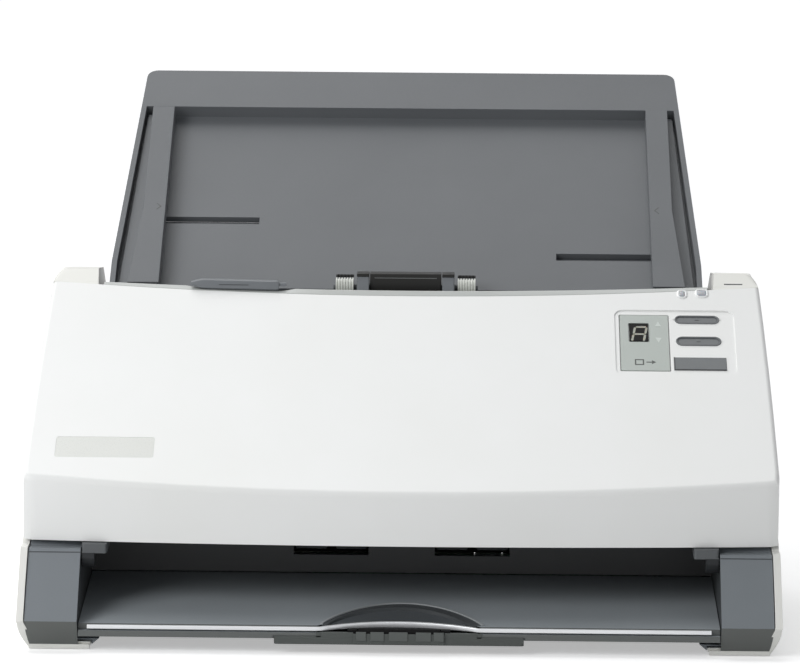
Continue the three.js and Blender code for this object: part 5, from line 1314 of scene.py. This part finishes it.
# Floor, light and camera; the floor's glow and the white background are for what the camera sees
studio = {"floor": [(-9, -3), (9, -3), (9, 14), (-9, 14)], "floorTone": (0.86, 0.86, 0.86, 1),
          "floorRough": 0.9, "floorGlow": 0.42, "sky": (0.95, 0.97, 1.0, 1), "skyPower": 0.26,
          "seen": (1, 1, 1, 1), "aim": (0, 0, 0.08)}
view = {"focal": 195.2, "sensor": 36, "far": 60, "aside": 0.024, "before": 1.7645, "height": 0.3887,
        "down": 8.2, "roll": 0.43, "yaw": 0.792}
bm = bmesh.new()
bm.faces.new([bm.verts.new((x, y, 0)) for x, y in studio["floor"]])
floorMesh = bpy.data.meshes.new("studio_floor")
bm.to_mesh(floorMesh)
bm.free()
studioFloor = bpy.data.objects.new("studio_floor", floorMesh)
bpy.context.scene.collection.objects.link(studioFloor)


def addSeen(tree):
    path = tree.nodes.new("ShaderNodeLightPath")
    value = path.outputs["Is Camera Ray"]
    for ray in ("Is Glossy Ray", "Is Transmission Ray"):
        either = tree.nodes.new("ShaderNodeMath")
        either.operation = "MAXIMUM"
        tree.links.new(value, either.inputs[0])
        tree.links.new(path.outputs[ray], either.inputs[1])
        value = either.outputs["Value"]
    return value


def pickShader(tree, unseen, seen, output):
    pick = tree.nodes.new("ShaderNodeMixShader")
    for source, target in ((addSeen(tree), pick.inputs["Fac"]), (unseen, pick.inputs[1]), (seen, pick.inputs[2]),
                           (pick.outputs["Shader"], output.inputs["Surface"])):
        tree.links.new(source, target)


floorMaterial = bpy.data.materials.new("paleFloor")
floorMaterial.use_nodes = True
floorTree = floorMaterial.node_tree
floorShader = floorTree.nodes["Principled BSDF"]
floorShader.inputs["Base Color"].default_value = studio["floorTone"]
floorShader.inputs["Roughness"].default_value = studio["floorRough"]
floorShader.inputs["Specular IOR Level"].default_value = 0.0
floorGlow = floorTree.nodes.new("ShaderNodeEmission")
floorGlow.inputs["Strength"].default_value = studio["floorGlow"]
floorSum = floorTree.nodes.new("ShaderNodeAddShader")
floorTree.links.new(floorShader.outputs["BSDF"], floorSum.inputs[0])
floorTree.links.new(floorGlow.outputs["Emission"], floorSum.inputs[1])
pickShader(floorTree, floorShader.outputs["BSDF"], floorSum.outputs["Shader"],
           floorTree.nodes["Material Output"])
floorMesh.materials.append(floorMaterial)

world = bpy.data.worlds.new("studio")
bpy.context.scene.world = world
world.use_nodes = True
worldTree = world.node_tree
sky = worldTree.nodes["Background"]
sky.inputs["Color"].default_value = studio["sky"]
sky.inputs["Strength"].default_value = studio["skyPower"]
white = worldTree.nodes.new("ShaderNodeBackground")
white.inputs["Color"].default_value = studio["seen"]
pickShader(worldTree, sky.outputs["Background"], white.outputs["Background"], worldTree.nodes["World Output"])

lamps = {
    "keyLamp": {"kind": "AREA", "place": (-0.92, -0.82, 0.77), "size": 0.7, "power": 8.8},
    "topLamp": {"kind": "SUN", "place": (-0.33, 0.5, 1.1), "size": 0.8, "power": 1.62},
}
for lampName, lamp in lamps.items():
    light = bpy.data.lights.new(lampName, lamp["kind"])
    if lamp["kind"] == "AREA":
        light.size = lamp["size"]
    else:
        light.angle = lamp["size"]
    light.energy = lamp["power"]
    holder = bpy.data.objects.new(lampName, light)
    bpy.context.scene.collection.objects.link(holder)
    holder.location = lamp["place"]
    holder.rotation_euler = (Vector(studio["aim"]) - Vector(lamp["place"])).to_track_quat("-Z", "Y").to_euler()

camera = bpy.data.cameras.new("photoCamera")
camera.lens = view["focal"]
camera.sensor_width = view["sensor"]
camera.clip_end = view["far"]
cameraHolder = bpy.data.objects.new("photoCamera", camera)
bpy.context.scene.collection.objects.link(cameraHolder)
yaw, pitch, roll = (Matrix.Rotation(math.radians(angle), 4, axis) for angle, axis in
                    ((view["yaw"], "Z"), (90 - view["down"], "X"), (view["roll"], "Z")))
stand = (view["aside"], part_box("left_side_panel")[0].y - view["before"], view["height"])
cameraHolder.matrix_world = Matrix.Translation(stand) @ yaw @ pitch @ roll
bpy.context.scene.camera = cameraHolder
bpy.context.scene.view_settings.view_transform = "Standard"
print("light and camera set")
